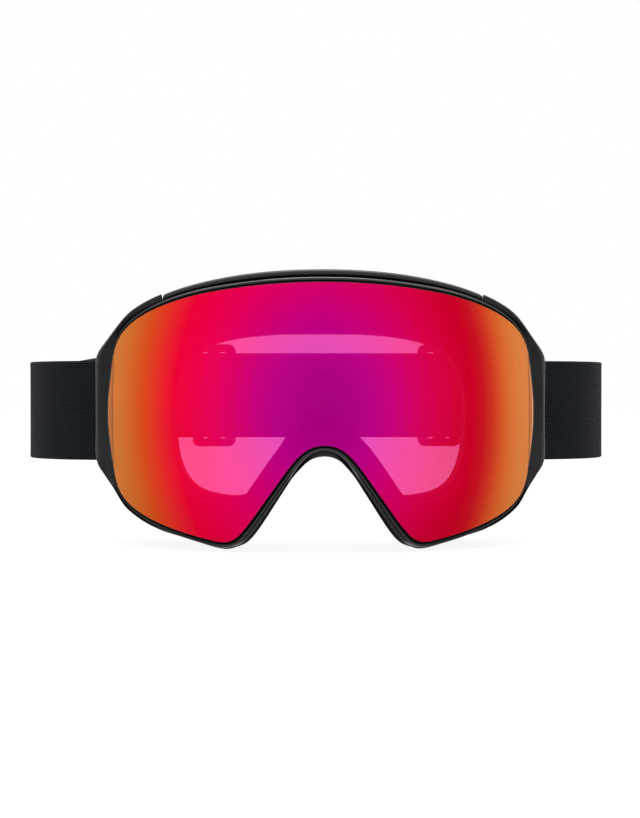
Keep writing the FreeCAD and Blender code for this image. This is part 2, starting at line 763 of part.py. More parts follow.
MASK_SIZE = (dim("mask_mag_x"), dim("mask_mag_y"), dim("mask_mag_z"))
MASK_POCKET_SIZE = (
    MASK_SIZE[0] + MASK_SLACK, MASK_SIZE[1] + MASK_SLACK, MASK_SIZE[2] + MASK_POCKET_EXTRA
)


def mask_boxes(name, size, bottom, sizes=None):
    """one box a side at the mask magnets, standing on a height"""
    middle = (MASK_X, MASK_Y, bottom + size[2] / 2)
    return [
        turned_box("%s_%s" % (name, tag), size, middle, side, MASK_TURN, sizes)
        for tag, side in SIDES
    ]


# Hinge lugs for the outriggers, two a side: outline in plan, (x, y) on the +X side.
LUG = [
    (76.6, 55.4), (84.8, 55.4), (86.1, 59.2), (86.4, 61.5), (85.4, 64.0), (83.0, 65.0),
    (76.6, 67.0),
]
LUG_CLEARANCE = 0.3  # between a lug and the end of the barrel
HOLE_CLEARANCE = 0.02
PIN_HOLE_OVERRUN = 6  # at each end of the pin
PIN_BOTTOM = STRAP_Z - dim("pin_length") / 2


def hinge_lugs():
    height = dim("lug_height")
    inner_end = dim("barrel_length") / 2 + LUG_CLEARANCE
    made = []
    for tag, side in SIDES:
        for level, bottom in (("up", inner_end), ("low", -inner_end - height)):
            points = [place(side * x, y, STRAP_Z + bottom) for x, y in LUG]
            if side < 0:
                points.reverse()
            outline = Part.Face(Part.makePolygon(points + [points[0]]))
            made.append(feature("lug_%s_%s" % (tag, level), outline.extrude(V(0, 0, height))))
    return made


def pin_holes():
    return [
        cylinder(
            "lug_hole_" + tag,
            "dims.pin_radius + %s" % HOLE_CLEARANCE,
            "dims.pin_length + %s" % (2 * PIN_HOLE_OVERRUN),
            place(side * HINGE_X, HINGE_Y, PIN_BOTTOM - PIN_HOLE_OVERRUN),
        )
        for tag, side in SIDES
    ]


bosses = mask_boxes("mask_boss", BOSS_SIZE, MASK_Z + BOSS_RAISE)
mask_pockets = mask_boxes("mask_pocket", MASK_POCKET_SIZE, MASK_Z - MASK_POCKET_BELOW)
mask_magnets = mask_boxes(
    "mask_magnet", MASK_SIZE, MASK_Z, ("dims.mask_mag_x", "dims.mask_mag_y", "dims.mask_mag_z")
)
frame_solid = fuse("frame_solid", [frame_blank] + hinge_lugs() + bosses)
frame_cuts = group(
    "frame_cuts", [brow_pocket, frame_pockets] + vent_cutters() + mask_pockets + pin_holes()
)
piece(cut("frame_shell", frame_solid, frame_cuts))
piece(magnet_group("frame_magnets", FRAME_MAGNET_DEPTH))
piece(group("mask_magnets", mask_magnets))

# ------------------------------------------------------------------ vent foam
FOAM_FRONT, FOAM_REAR = 0.14, 0.86  # fractions of the way back along the inside of the wall
FOAM_INWARD = 2.7  # inner face of the foam, from the wall
TOP_FOAM_GAP, SIDE_FOAM_GAP = 0.45, 0.7
TOP_FOAM_STATIONS = [i % COUNT for i in range(-14, 15)]
LEFT_FOAM_STATIONS = list(range(32, 39))
RIGHT_FOAM_STATIONS = [COUNT - i for i in LEFT_FOAM_STATIONS]


def vent_foam(name, picks, gap):
    """a strip of foam inside the wall, past the stations picked"""

    def point(i, fraction, inward):
        wall = INNER_FRONT[i] + (INNER_REAR[i] - INNER_FRONT[i]) * fraction
        normal_x, normal_z = FACE_NORMALS[i]
        return V(wall.x - normal_x * inward, wall.y, wall.z - normal_z * inward)

    corners = (
        (FOAM_FRONT, gap), (FOAM_REAR, gap), (FOAM_REAR, FOAM_INWARD), (FOAM_FRONT, FOAM_INWARD)
    )
    loops = [[point(i, fraction, inward) for i in picks] for fraction, inward in corners]
    return feature(name, strip(loops))


piece(vent_foam("vent_foam_top", TOP_FOAM_STATIONS, TOP_FOAM_GAP))
piece(vent_foam("vent_foam_left", LEFT_FOAM_STATIONS, SIDE_FOAM_GAP))
piece(vent_foam("vent_foam_right", RIGHT_FOAM_STATIONS, SIDE_FOAM_GAP))

# ------------------------------------------------------------------ face plate and face pad
LAYER_GAP = 0.05
SIDE_THICKENING = 0.35  # share by which the layers grow towards the sides
SIDE_X = 78.0


def face_inset(amount):
    return [
        (x - amount * normal[0], z - amount * normal[1])
        for (x, z), normal in zip(FACE, FACE_NORMALS)
    ]


FOAM_OUT, FLEECE_OUT = face_inset(0.4), face_inset(1.0)
FOAM_IN = [lerp(FACE[i], APERTURE[i], 0.78) for i in range(COUNT)]
FLEECE_IN = [lerp(APERTURE[i], FACE[i], 0.05) for i in range(COUNT)]
# Name, thickness, loops on the front and loops on the rear, each from outside to inside.
FACE_LAYERS = [
    ("face_plate", "plate_thick", [FACE, FOAM_IN], [FACE, FOAM_OUT, FOAM_IN]),
    ("face_foam_dense", "foam_dense", [FOAM_OUT, FOAM_IN], [FOAM_OUT, FOAM_IN]),
    (
        "face_foam_soft", "foam_soft",
        [FOAM_OUT, FOAM_IN, APERTURE], [FOAM_OUT, FLEECE_OUT, FLEECE_IN, APERTURE],
    ),
    ("face_fleece", "fleece_thick", [FLEECE_OUT, FLEECE_IN], [FLEECE_OUT, FLEECE_IN]),
]


def face_parameters():
    """spline parameters shared by every layer, so that faces which meet have the same shape"""
    at = [0.0]
    for i in range(COUNT):
        n = (i + 1) % COUNT
        step = math.hypot(FACE[n][0] - FACE[i][0], FACE[n][1] - FACE[i][1])
        step += math.hypot(APERTURE[n][0] - APERTURE[i][0], APERTURE[n][1] - APERTURE[i][1])
        at.append(at[-1] + max(step / 2, 0.05))
    return at


def face_loop(points, back):
    """a loop set back from the front of the face plate"""
    return [
        V(x, face_depth(x, z) + back * (1.0 + SIDE_THICKENING * (x / SIDE_X) ** 2), z)
        for x, z in points
    ]


face_at = face_parameters()
front = 0.0
for name, alias, front_loops, rear_loops in FACE_LAYERS:
    rear = front + dim(alias)
    loops = [face_loop(points, rear) for points in rear_loops]
    loops += [face_loop(points, front) for points in reversed(front_loops)]
    piece(feature(name, ring(loops, face_at)))
    front = rear + LAYER_GAP


# ------------------------------------------------------------------ sketched bodies
def sketch_on(body, part, role):
    """an empty sketch on one of the body's origin planes"""
    sketch = body.newObject("Sketcher::SketchObject", "%s_%s" % (body.Name, part))
    plane = [f for f in body.Origin.OriginFeatures if f.Role == role][0]
    sketch.AttachmentSupport = (plane, [""])
    sketch.MapMode = "FlatFace"
    return sketch


def closed_lines(sketch, points):
    count = len(points)
    for k in range(count):
        start, end = points[k], points[(k + 1) % count]
        sketch.addGeometry(Part.LineSegment(V(*start, 0), V(*end, 0)), False)
    for k in range(count):
        sketch.addConstraint(Sketcher.Constraint("Coincident", k, 2, (k + 1) % count, 1))


def bound_constraints(sketch, rows):
    """named constraints: label, kind, where, starting value, expression"""
    for label, kind, where, start, expression in rows:
        index = sketch.addConstraint(Sketcher.Constraint(kind, *(where + (start,))))
        sketch.renameConstraint(index, label)
        sketch.setExpression("Constraints." + label, expression)


def polygon_sketch(body, part, role, points):
    """a closed polygon whose corners are held by constraints"""
    sketch = sketch_on(body, part, role)
    closed_lines(sketch, points)
    for k, (across, up) in enumerate(points):
        sketch.addConstraint(Sketcher.Constraint("DistanceX", -1, 1, k, 1, across))
        sketch.addConstraint(Sketcher.Constraint("DistanceY", -1, 1, k, 1, up))
    return sketch


def rect_sketch(body, part, role, width, height, across, up):
    """a rectangle whose width, height and centre are bound to expressions"""
    sketch = sketch_on(body, part, role)
    closed_lines(sketch, [(-5, -5), (5, -5), (5, 5), (-5, 5)])
    for k, kind in enumerate(("Horizontal", "Vertical", "Horizontal", "Vertical")):
        sketch.addConstraint(Sketcher.Constraint(kind, k))
    bound_constraints(sketch, (
        ("wide", "DistanceX", (0, 1, 0, 2), 10.0, width),
        ("high", "DistanceY", (1, 1, 1, 2), 10.0, height),
        ("left", "DistanceX", (-1, 1, 0, 1), -5.0, "(%s) - (%s) / 2" % (across, width)),
        ("low", "DistanceY", (-1, 1, 0, 1), -5.0, "(%s) - (%s) / 2" % (up, height)),
    ))
    return sketch


def circle_sketch(body, part, radius, across="0", up="0"):
    sketch = sketch_on(body, part, "XY_Plane")
    sketch.addGeometry(Part.Circle(V(1, 1, 0), V(0, 0, 1), 1.0), False)
    bound_constraints(sketch, (
        ("size", "Radius", (0,), 1.0, radius),
        ("across", "DistanceX", (-1, 1, 0, 3), 1.0, across),
        ("up", "DistanceY", (-1, 1, 0, 3), 1.0, up),
    ))
    return sketch


def extrude(kind, body, sketch, length):
    """a pad or pocket, half to each side of the sketch"""
    made = body.newObject("PartDesign::" + kind, "%s_%s" % (sketch.Name, kind.lower()))
    made.Profile = sketch
    made.Midplane = True
    made.setExpression("Length", length)


def add_pad(body, sketch, length):
    extrude("Pad", body, sketch, length)


def add_pocket(body, sketch, length):
    doc.recompute()
    before = body.Shape.Volume
    extrude("Pocket", body, sketch, length)
    doc.recompute()
    if body.Shape.Volume >= before - 0.01:
        raise RuntimeError("%s cut nothing" % sketch.Name)


# ------------------------------------------------------------------ outriggers
ARC_START, ARC_STEP, ARC_COUNT = 20, 17.5, 9  # round of the ear, in degrees
BAR_SHORTER = 1.4  # strap bar length, under the outrigger height
BAR_HOLE_SHORTER = 1.2


def arm_outline(side):
    """the arm plate in plan, with its corners clipped"""
    inner, outer = dim("arm_in"), dim("arm_out")
    front, rear = dim("arm_front"), dim("arm_rear")
    outline = [
        (inner, front + 0.4), (inner + 0.5, front), (outer - 0.8, front), (outer, front + 1.0),
        (outer, rear - 2.0), (outer - 0.9, rear), (inner + 0.2, rear), (inner, rear - 0.4),
    ]
    return mirrored_outline(outline, side)


def ear_outline(side):
    """the ears in plan: from inside the arm plate to a round about the strap bar"""
    outer, rear = dim("arm_out") - 0.02, dim("arm_rear")
    bar_x, bar_y, radius = dim("bar_x"), dim("bar_y"), dim("ear_radius")
    outline = [(dim("arm_in"), rear - 6.0), (outer, rear - 6.0), (outer, rear - 2.0)]
    for k in range(ARC_COUNT):
        angle = math.radians(ARC_START + k * ARC_STEP)
        outline.append((bar_x + radius * math.cos(angle), bar_y + radius * math.sin(angle)))
    outline.append((bar_x - radius, bar_y - 1.0))
    return mirrored_outline(outline, side)


def mirrored_outline(outline, side):
    points = [(side * x, y) for x, y in outline]
    return points if side > 0 else points[::-1]


def outrigger(name, side):
    """local frame: the pin is the Z axis, side * X points outwards, +Y back"""
    body = doc.addObject("PartDesign::Body", name)
    bar_x = "%d * dims.bar_x" % side
    add_pad(body, circle_sketch(body, "barrel", "dims.barrel_radius"), "dims.barrel_length")
    # the web between the barrel and the arm plate
    sketch = rect_sketch(
        body, "web", "XY_Plane", width="dims.arm_in + 1", height="3.6",
        across="%d * (dims.arm_in + 1) / 2" % side, up="1.3",
    )
    add_pad(body, sketch, "dims.barrel_length")
    sketch = polygon_sketch(body, "plate", "XY_Plane", arm_outline(side))
    add_pad(body, sketch, "dims.arm_height")
    sketch = polygon_sketch(body, "ears", "XY_Plane", ear_outline(side))
    add_pad(body, sketch, "dims.arm_height")
    # the window the webbing passes through, behind the plate, leaves an ear above and below
    sketch = rect_sketch(
        body, "window", "XY_Plane", width="16", height="12",
        across=bar_x, up="dims.arm_rear + 6.2",
    )
    add_pocket(body, sketch, "dims.arm_height - 2 * dims.ear_thick")
    add_pocket(body, circle_sketch(body, "bore", "dims.bore_radius"), "dims.arm_height")
    hole_radius = "dims.bar_radius + %s" % HOLE_CLEARANCE
    sketch = circle_sketch(body, "bar_hole", hole_radius, bar_x, "dims.bar_y")
    add_pocket(body, sketch, "dims.arm_height - %s" % BAR_HOLE_SHORTER)
    body.Placement = FreeCAD.Placement(
        place(side * HINGE_X, HINGE_Y, STRAP_Z), FreeCAD.Rotation()
    )
    return body


def hinge_pin(tag, side):
    shank = cylinder(
        "pin_shank_" + tag, "dims.pin_radius", "dims.pin_length",
        place(side * HINGE_X, HINGE_Y, PIN_BOTTOM),
    )
    # the head overlaps the top of the shank
    head = cylinder(
        "pin_head_" + tag, "dims.pin_head_r", "dims.pin_head",
        place(side * HINGE_X, HINGE_Y, STRAP_Z + dim("pin_length") / 2 - 0.05),
    )
    return fuse("hinge_pin_" + tag, [shank, head])


BAR_X, BAR_Y = HINGE_X + dim("bar_x"), HINGE_Y + dim("bar_y")


def strap_bar(tag, side):
    bottom = STRAP_Z - (dim("arm_height") - BAR_SHORTER) / 2
    return cylinder(
        "strap_bar_" + tag, "dims.bar_radius", "dims.arm_height - %s" % BAR_SHORTER,
        place(side * BAR_X, BAR_Y, bottom),
    )


for tag, side in SIDES:
    piece(outrigger("outrigger_" + tag, side))
    piece(hinge_pin(tag, side))
    piece(strap_bar(tag, side))

# ------------------------------------------------------------------ strap
STRAP_HALF = dim("strap_height") / 2
WIDEST_Y = BAR_Y + dim("loop_mid")
REAR_Y = WIDEST_Y + dim("loop_back")
STRAP_REAR_Z = STRAP_Z + dim("strap_rise")
RISE_START, RISE_RUN = 95.0, 70.0  # where the strap climbs, along it from the bar
WEB_START = 15.0  # start of the webbing, along the path from the bar
WEB_STEP = 6.0
# faces of a webbing layer, from the mid line between the two layers
LAYER_NEAR = dim("web_gap") / 2
LAYER_FAR = LAYER_NEAR + dim("web_thick")
RETURN_SHORT = 24.0  # end of the returned layer, before the adjuster centre
RETURN_NARROW = 0.3  # how much narrower it is at each edge
EYE_CLEARANCE = 0.1
EYE_TAIL = (9.5, 3.6)  # tail of the eye: length, thickness
EYE_TURN = 8  # degrees the tail turns back from straight outwards
EYE_BORE_OVERRUN = 2


def strap_path():
    """mid line of the strap in plan on the +X side, from the strap bar to the rear's centre"""
    side_reach, mid_reach = dim("loop_side"), dim("loop_mid")
    back_reach, flat = dim("loop_back"), dim("rear_flat")
    points = []
    for k in range(400):
        angle = k / 399.0 * math.pi / 2
        points.append(
            (BAR_X + side_reach * math.sin(angle), WIDEST_Y - mid_reach * math.cos(angle))
        )
    for k in range(1, 500):
        angle = k / 499.0 * math.pi / 2
        x = flat + (BAR_X + side_reach - flat) * math.cos(angle)
        points.append((x, WIDEST_Y + back_reach * math.sin(angle)))
    for k in range(1, 60):
        points.append((flat * (1 - k / 59.0), REAR_Y))
    return points


PATH = strap_path()
PATH_LENGTHS = arc_lengths(PATH)
PATH_TOTAL = PATH_LENGTHS[-1]


def on_path(distance, offset):
    """x, y, z at a distance from the strap bar; a positive offset is outwards"""
    before = along(PATH, PATH_LENGTHS, max(0.0, distance - 0.4))
    after = along(PATH, PATH_LENGTHS, min(PATH_TOTAL, distance + 0.4))
    x, y = along(PATH, PATH_LENGTHS, distance)
    run_x, run_y = after[0] - before[0], after[1] - before[1]
    size = math.hypot(run_x, run_y)
    z = STRAP_Z + dim("strap_rise") * smooth_step((distance - RISE_START) / RISE_RUN)
    return x + offset * run_y / size, y - offset * run_x / size, z


def web_strip(side, end, inner, outer, half, both=False):
    """webbing up to a distance along the path; both carries it round to the other side"""
    count = max(4, int(round((end - WEB_START) / WEB_STEP)))
    distances = [WEB_START + (end - WEB_START) * k / count for k in range(count + 1)]
    corners = []
    for offset, up in ((outer, half), (outer, -half), (inner, -half), (inner, half)):
        points = []
        for distance in distances:
            x, y, z = on_path(distance, offset)
            points.append(V(side * x, y, z + up))
        if both:
            points += [V(-p.x, p.y, p.z) for p in reversed(points[:-1])]
        corners.append(points)
    return strip(corners)


def strap_return(tag, side):
    """the inner layer of webbing, led forward from the adjuster"""
    end = PATH_TOTAL - dim("slider_x_" + tag) - RETURN_SHORT
    half = STRAP_HALF - RETURN_NARROW
    return feature("strap_return_" + tag, web_strip(side, end, -LAYER_FAR, -LAYER_NEAR, half))


def strap_eye(tag, side):
    """the end of the webbing, round the strap bar and sewn back on itself"""
    foot = place(side * BAR_X, BAR_Y, STRAP_Z - STRAP_HALF)
    bore_radius = "dims.bar_radius + %s" % EYE_CLEARANCE
    eye = cylinder(
        "eye_outer_" + tag, bore_radius + " + dims.web_thick", "dims.strap_height", foot
    )
    length, thick = EYE_TAIL
    turn = about_z(EYE_TURN if side > 0 else 180 - EYE_TURN)
    tail_placement = FreeCAD.Placement(foot - turn.multVec(V(0, thick / 2, 0)), turn)
    tail = box("eye_tail_" + tag, (length, thick, "dims.strap_height"), tail_placement)
    solid = fuse("eye_solid_" + tag, [eye, tail])
    bore = cylinder(
        "eye_bore_" + tag, bore_radius, "dims.strap_height + %s" % (2 * EYE_BORE_OVERRUN),
        foot - V(0, 0, EYE_BORE_OVERRUN),
    )
    return cut("strap_eye_" + tag, solid, bore)


piece(
    feature("strap_webbing", web_strip(1, PATH_TOTAL, LAYER_NEAR, LAYER_FAR, STRAP_HALF, both=True))
)
for tag, side in SIDES:
    piece(strap_return(tag, side))
    piece(strap_eye(tag, side))

BEAD_LENGTH = 124.0
BEAD_PITCH = 12.0
BEAD_GAP = 0.03  # between the beads and the webbing


def silicone_grip():
    """three grip lines on the inside of the rear run"""
    y = REAR_Y + LAYER_NEAR - BEAD_GAP - dim("bead_thick")
    beads = []
    for k in range(3):
        z = STRAP_REAR_Z + (k - 1) * BEAD_PITCH - dim("bead_width") / 2
        placement = FreeCAD.Placement(place(-BEAD_LENGTH / 2, y, z), FreeCAD.Rotation())
        sizes = (BEAD_LENGTH, "dims.bead_thick", "dims.bead_width")
        beads.append(box("grip_line_%d" % k, sizes, placement))
    return group("silicone_grip", beads)


piece(silicone_grip())

# ------------------------------------------------------------------ adjusters on the rear run
CLIP, BEVEL = 3.0, 0.9  # corner of the adjuster: its extent, and its middle point
CHANNEL_Y = 0.55  # webbing channel, back from the middle of the adjuster
OPENING_HEIGHT = "dims.strap_height + 0.9"


def adjuster(name, x):
    """local frame: X along the strap, Y back, Z up, zero in the middle of the block"""
    body = doc.addObject("PartDesign::Body", name)
    wide, high = dim("slider_width") / 2, dim("slider_height") / 2
    outline = [
        (-wide + CLIP, -high), (wide - CLIP, -high), (wide - BEVEL, -high + BEVEL),
        (wide, -high + CLIP), (wide, high - CLIP), (wide - BEVEL, high - BEVEL),
        (wide - CLIP, high), (-wide + CLIP, high), (-wide + BEVEL, high - BEVEL),
        (-wide, high - CLIP), (-wide, -high + CLIP), (-wide + BEVEL, -high + BEVEL),
    ]
    add_pad(body, polygon_sketch(body, "block", "XZ_Plane", outline), "dims.slider_depth")
    # the channel for the webbing, right through along X
    sketch = rect_sketch(
        body, "channel", "YZ_Plane", width="2.9", height=OPENING_HEIGHT,
        across="%s" % CHANNEL_Y, up="0",
    )
    add_pocket(body, sketch, "dims.slider_width + 4")
    # open in the middle on the outside, between the two outer bars
    sketch = rect_sketch(
        body, "mouth", "XY_Plane", width="dims.slider_width - 2 * dims.slider_bar",
        height="4", across="0", up="3.2",
    )
    add_pocket(body, sketch, OPENING_HEIGHT)
    # open at both ends on the inside, leaving the middle bar
    for end, sign in (("a", 1), ("b", -1)):
        sketch = rect_sketch(
            body, "side_" + end, "XY_Plane",
            width="dims.slider_width / 2 - dims.slider_bar * 0.62 + 2", height="8",
            across="%d * (dims.slider_width / 4 + dims.slider_bar * 0.31 + 1)" % sign, up="-4.9",
        )
        add_pocket(body, sketch, OPENING_HEIGHT)
    # room between the middle bar and the webbing for the sewn loop
    sketch = rect_sketch(
        body, "room", "XY_Plane", width="dims.slider_width", height="1.5", across="0", up="-1.3"
    )
    add_pocket(body, sketch, OPENING_HEIGHT)
    # the channel is centred on the outer layer of webbing
    middle_y = REAR_Y + (LAYER_NEAR + LAYER_FAR) / 2 - CHANNEL_Y
    body.Placement = FreeCAD.Placement(place(x, middle_y, STRAP_REAR_Z), FreeCAD.Rotation())
    return body


for tag, side in SIDES:
    piece(adjuster("slider_" + tag, side * dim("slider_x_" + tag)))

# ------------------------------------------------------------------ check and write
doc.recompute()
bad = [
    "%s: %s" % (obj.Name, obj.State)
    for obj in doc.Objects
    if any(flag in obj.State for flag in ("Invalid", "Error"))
]
if bad:
    raise RuntimeError("failed objects: " + "; ".join(bad))
for obj in PIECES:
    if obj.Shape.isNull() or not obj.Shape.isValid() or not obj.Shape.Solids:
        raise RuntimeError("%s has no valid solid" % obj.Label)
os.makedirs("parts", exist_ok=True)
for obj in PIECES:
    obj.Shape.exportStep(os.path.join("parts", obj.Label + ".step"))
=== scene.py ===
import math

import bmesh
import bpy
import numpy as np
from mathutils import Matrix, Vector


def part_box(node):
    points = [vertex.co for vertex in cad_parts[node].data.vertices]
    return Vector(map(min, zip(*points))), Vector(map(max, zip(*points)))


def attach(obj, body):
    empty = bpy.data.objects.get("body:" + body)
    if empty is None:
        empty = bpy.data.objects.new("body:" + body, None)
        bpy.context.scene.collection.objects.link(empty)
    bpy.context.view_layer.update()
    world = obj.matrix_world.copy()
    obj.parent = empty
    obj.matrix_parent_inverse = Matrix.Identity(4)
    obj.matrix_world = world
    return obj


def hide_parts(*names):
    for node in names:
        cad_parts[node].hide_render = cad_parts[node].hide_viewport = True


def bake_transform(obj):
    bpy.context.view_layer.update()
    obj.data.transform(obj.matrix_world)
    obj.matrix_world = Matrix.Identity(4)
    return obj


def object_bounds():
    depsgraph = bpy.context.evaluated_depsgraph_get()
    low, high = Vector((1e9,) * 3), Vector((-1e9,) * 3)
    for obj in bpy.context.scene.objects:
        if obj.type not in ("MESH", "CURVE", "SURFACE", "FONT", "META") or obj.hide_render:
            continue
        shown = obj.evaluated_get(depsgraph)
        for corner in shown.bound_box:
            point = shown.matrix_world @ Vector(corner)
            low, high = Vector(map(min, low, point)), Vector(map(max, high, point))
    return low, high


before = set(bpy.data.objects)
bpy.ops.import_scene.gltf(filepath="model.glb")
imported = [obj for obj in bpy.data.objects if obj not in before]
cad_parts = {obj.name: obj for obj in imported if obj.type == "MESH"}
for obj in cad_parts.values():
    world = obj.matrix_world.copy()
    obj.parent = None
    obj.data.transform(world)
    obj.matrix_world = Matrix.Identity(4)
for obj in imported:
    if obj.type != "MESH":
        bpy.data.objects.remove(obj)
cad_lo, cad_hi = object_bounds()
scene = bpy.context.scene
M = 0.001

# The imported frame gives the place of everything: the lens apex and its top fix the offsets.
lens_lo, lens_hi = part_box("lens_outer")
OY = -lens_lo.y * 1000.0
OZ = 48.0 - lens_hi.z * 1000.0

# ---------------------------------------------------------------- sizes shared with the CAD frame, mm
R = 105.0
LENS_T, INNER_DEPTH, INNER_INSET, SPACER_W = 1.6, 7.0, 3.5, 4.8
RIM_W, RIM_INSET, RIM_D = 1.9, 3.3, 7.95
SEAT, BACK, WALL = 8.2, 11.0, 2.2
FACE_R, FACE_Y, NOSE_PULL = 95.0, 30.0, 11.0
PLATE_T, DENSE_T, SOFT_T, FLEECE_T = 1.8, 4.0, 9.6, 1.3
ZC = -0.8
PX, PY = 83.0, 61.5
BX, BY = 88.4, 75.5
SIDE, MID, REAR, FLAT = 35.0, 39.5, 84.5, 78.0
SH, WT, WG = 41.2, 1.5, 0.3
RISE = 6.2
SLIDER_AT = {"left": 62.0, "right": 48.0}
BROW_X = 61.1

LENS_HALF = [
    (0, 48.0), (19.0, 47.4), (37.6, 45.5), (49.1, 43.6), (57.4, 41.5), (64.2, 39.2),
    (69.0, 37.1), (72.9, 34.9), (76.0, 32.6), (78.5, 30.0), (80.4, 27.2), (82.0, 23.2),
    (83.5, 14.5), (84.6, 4.5), (84.7, -4.6), (83.9, -13.5), (82.5, -22.4), (81.2, -28.2),
    (78.9, -33.3), (75.0, -37.5), (68.2, -41.7), (57.6, -45.8), (48.0, -48.4),
    (41.4, -49.8), (37.2, -50.1), (33.8, -48.9), (31.0, -46.4), (27.7, -42.3),
    (23.1, -35.9), (18.0, -28.7), (13.6, -22.6), (9.9, -18.2), (5.6, -14.9), (0, -13.6),
]
RIM_HALF = [
    (0, 52.7), (18.1, 52.2), (35.9, 50.4), (46.9, 48.5), (55.8, 46.4), (62.2, 44.4),
    (67.9, 42.1), (72.3, 39.8), (75.6, 37.6), (78.4, 35.0), (80.9, 32.2), (83.6, 29.0),
    (86.3, 25.8), (88.5, 23.0), (89.7, 20.2), (89.95, 16.0), (90.0, 8.0), (90.0, -2.0),
    (90.0, -12.0), (89.8, -18.8), (89.0, -22.0), (87.0, -25.0), (84.2, -28.7),
    (81.5, -32.3), (79.3, -35.6), (77.2, -38.1), (74.6, -40.2), (71.4, -42.3),
    (67.6, -44.3), (62.6, -46.3), (56.6, -48.3), (50.1, -50.3), (43.8, -52.1),
    (38.8, -53.1), (35.0, -52.9), (31.9, -51.2), (29.0, -48.2), (25.5, -43.9),
    (21.9, -39.3), (18.5, -34.8), (15.2, -30.3), (12.0, -26.0), (8.8, -22.2),
    (5.2, -18.9), (0, -17.5),
]
FACE_OUT_HALF = [
    (0, 47.3), (20, 46.8), (38, 45.0), (52, 41.2), (63, 35.6), (71, 28.0), (75.6, 18.5),
    (77.4, 8.0), (77.6, -4.0), (76.2, -16.0), (72.6, -27.0), (66.5, -36.0), (58.5, -42.2),
    (49.5, -45.7), (42.0, -47.0), (36.0, -46.0), (31.0, -42.6), (26.0, -37.2), (20.6, -30.2),
    (15.6, -23.6), (10.8, -18.0), (5.6, -14.4), (0, -13.2),
]
APERTURE_HALF = [
    (0, 29.7), (14, 29.6), (28, 28.7), (39, 26.9), (47.2, 24.0), (52.8, 19.4), (56.6, 12.5),
    (58.4, 4.0), (58.7, -5.0), (58.3, -13.0), (56.6, -21.5), (53.2, -28.0), (48.6, -31.9),
    (41.5, -34.0), (34.5, -34.6), (29.6, -33.6), (26.6, -30.2), (22.8, -24.6), (18.4, -17.8),
    (13.9, -10.6), (9.6, -3.9), (5.0, 0.2), (0, 1.5),
]


# ---------------------------------------------------------------- outline maths
def sstep(v):
    v = np.clip(v, 0.0, 1.0)
    return v * v * (3 - 2 * v)


def spline_closed(half, n=2400):
    """the closed C2 curve through the half outline and its mirror image"""
    p = np.array(list(half) + [(-x, z) for x, z in reversed(half[1:-1])], float)
    h = np.linalg.norm(np.roll(p, -1, 0) - p, axis=1)
    t = np.concatenate([[0], np.cumsum(h)])
    m = len(p)
    a, b = np.zeros((m, m)), np.zeros((m, 2))
    for i in range(m):
        hp, hn = h[i - 1], h[i]
        a[i, i - 1] += 1 / hp
        a[i, i] += 2 * (1 / hp + 1 / hn)
        a[i, (i + 1) % m] += 1 / hn
        b[i] = 3 * ((p[i] - p[i - 1]) / hp**2 + (p[(i + 1) % m] - p[i]) / hn**2)
    d = np.linalg.solve(a, b)
    s = np.linspace(0, t[-1], n, endpoint=False)
    k = np.clip(np.searchsorted(t, s, side="right") - 1, 0, m - 1)
    u, hk = ((s - t[k]) / h[k])[:, None], h[k][:, None]
    return (
        (2 * u**3 - 3 * u**2 + 1) * p[k]
        + (u**3 - 2 * u**2 + u) * hk * d[k]
        + (-2 * u**3 + 3 * u**2) * p[(k + 1) % m]
        + (u**3 - u**2) * hk * d[(k + 1) % m]
    )


def right_half(dense):
    start = int(np.argmax(dense[:, 1] - 3 * np.abs(dense[:, 0])))
    pts = np.roll(dense, -start, 0)
    if pts[5][0] < 0:
        pts = np.vstack([pts[:1], pts[1:][::-1]])
    out = [(0.0, pts[0][1])]
    for q in pts[1:]:
        if q[0] > 0.04:
            out.append((q[0], q[1]))
        elif len(out) > 20:
            break
    out.append((0.0, out[-1][1]))
    return np.array(out)


def unroll(p):
    return np.column_stack([R * np.arcsin(p[:, 0] / R), p[:, 1]])


class Outline:
    """one half outline; at(u) gives points for u from 0 (top centre), 1 (side), 2 (lobe tip) to 3 (nose top)"""

    def __init__(self, half):
        self.p = half
        self.l = np.concatenate(
            [[0], np.cumsum(np.linalg.norm(np.diff(half, axis=0), axis=1))]
        )
        wide = np.where(half[:, 0] > 45)[0]
        side = wide[np.argmin(np.abs(half[wide, 1] + 2.0))]
        tip = int(np.argmin(half[:, 1]))
        self.a = [0.0, self.l[side], self.l[tip], self.l[-1]]
        t = np.gradient(half, axis=0)
        t[0], t[-1] = (1, 0), (-1, 0)
        if half[-1, 1] > half[tip, 1]:
            t[-1] = (-1, 0)
        t = t / np.linalg.norm(t, axis=1)[:, None]
        self.n = np.column_stack([-t[:, 1], t[:, 0]])
        for _ in range(3):
            q = self.n.copy()
            q[1:-1] = (self.n[:-2] + 2 * self.n[1:-1] + self.n[2:]) / 4
            self.n = q / np.linalg.norm(q, axis=1)[:, None]

    def length(self, u):
        u = np.asarray(u, float)
        k = np.clip(u.astype(int), 0, 2)
        a = np.array(self.a)
        return a[k] + (u - k) * (a[k + 1] - a[k])

    def at(self, u):
        s = self.length(u)
        return np.column_stack([np.interp(s, self.l, self.p[:, j]) for j in (0, 1)])

    def normal(self, u):
        s = self.length(u)
        q = np.column_stack([np.interp(s, self.l, self.n[:, j]) for j in (0, 1)])
        return q / np.linalg.norm(q, axis=1)[:, None]


lens_closed = spline_closed(LENS_HALF)
LENS = Outline(unroll(right_half(lens_closed)))
RIM = Outline(right_half(spline_closed(RIM_HALF)))
FACE_OUT = Outline(right_half(spline_closed(FACE_OUT_HALF)))
APERTURE = Outline(right_half(spline_closed(APERTURE_HALF)))


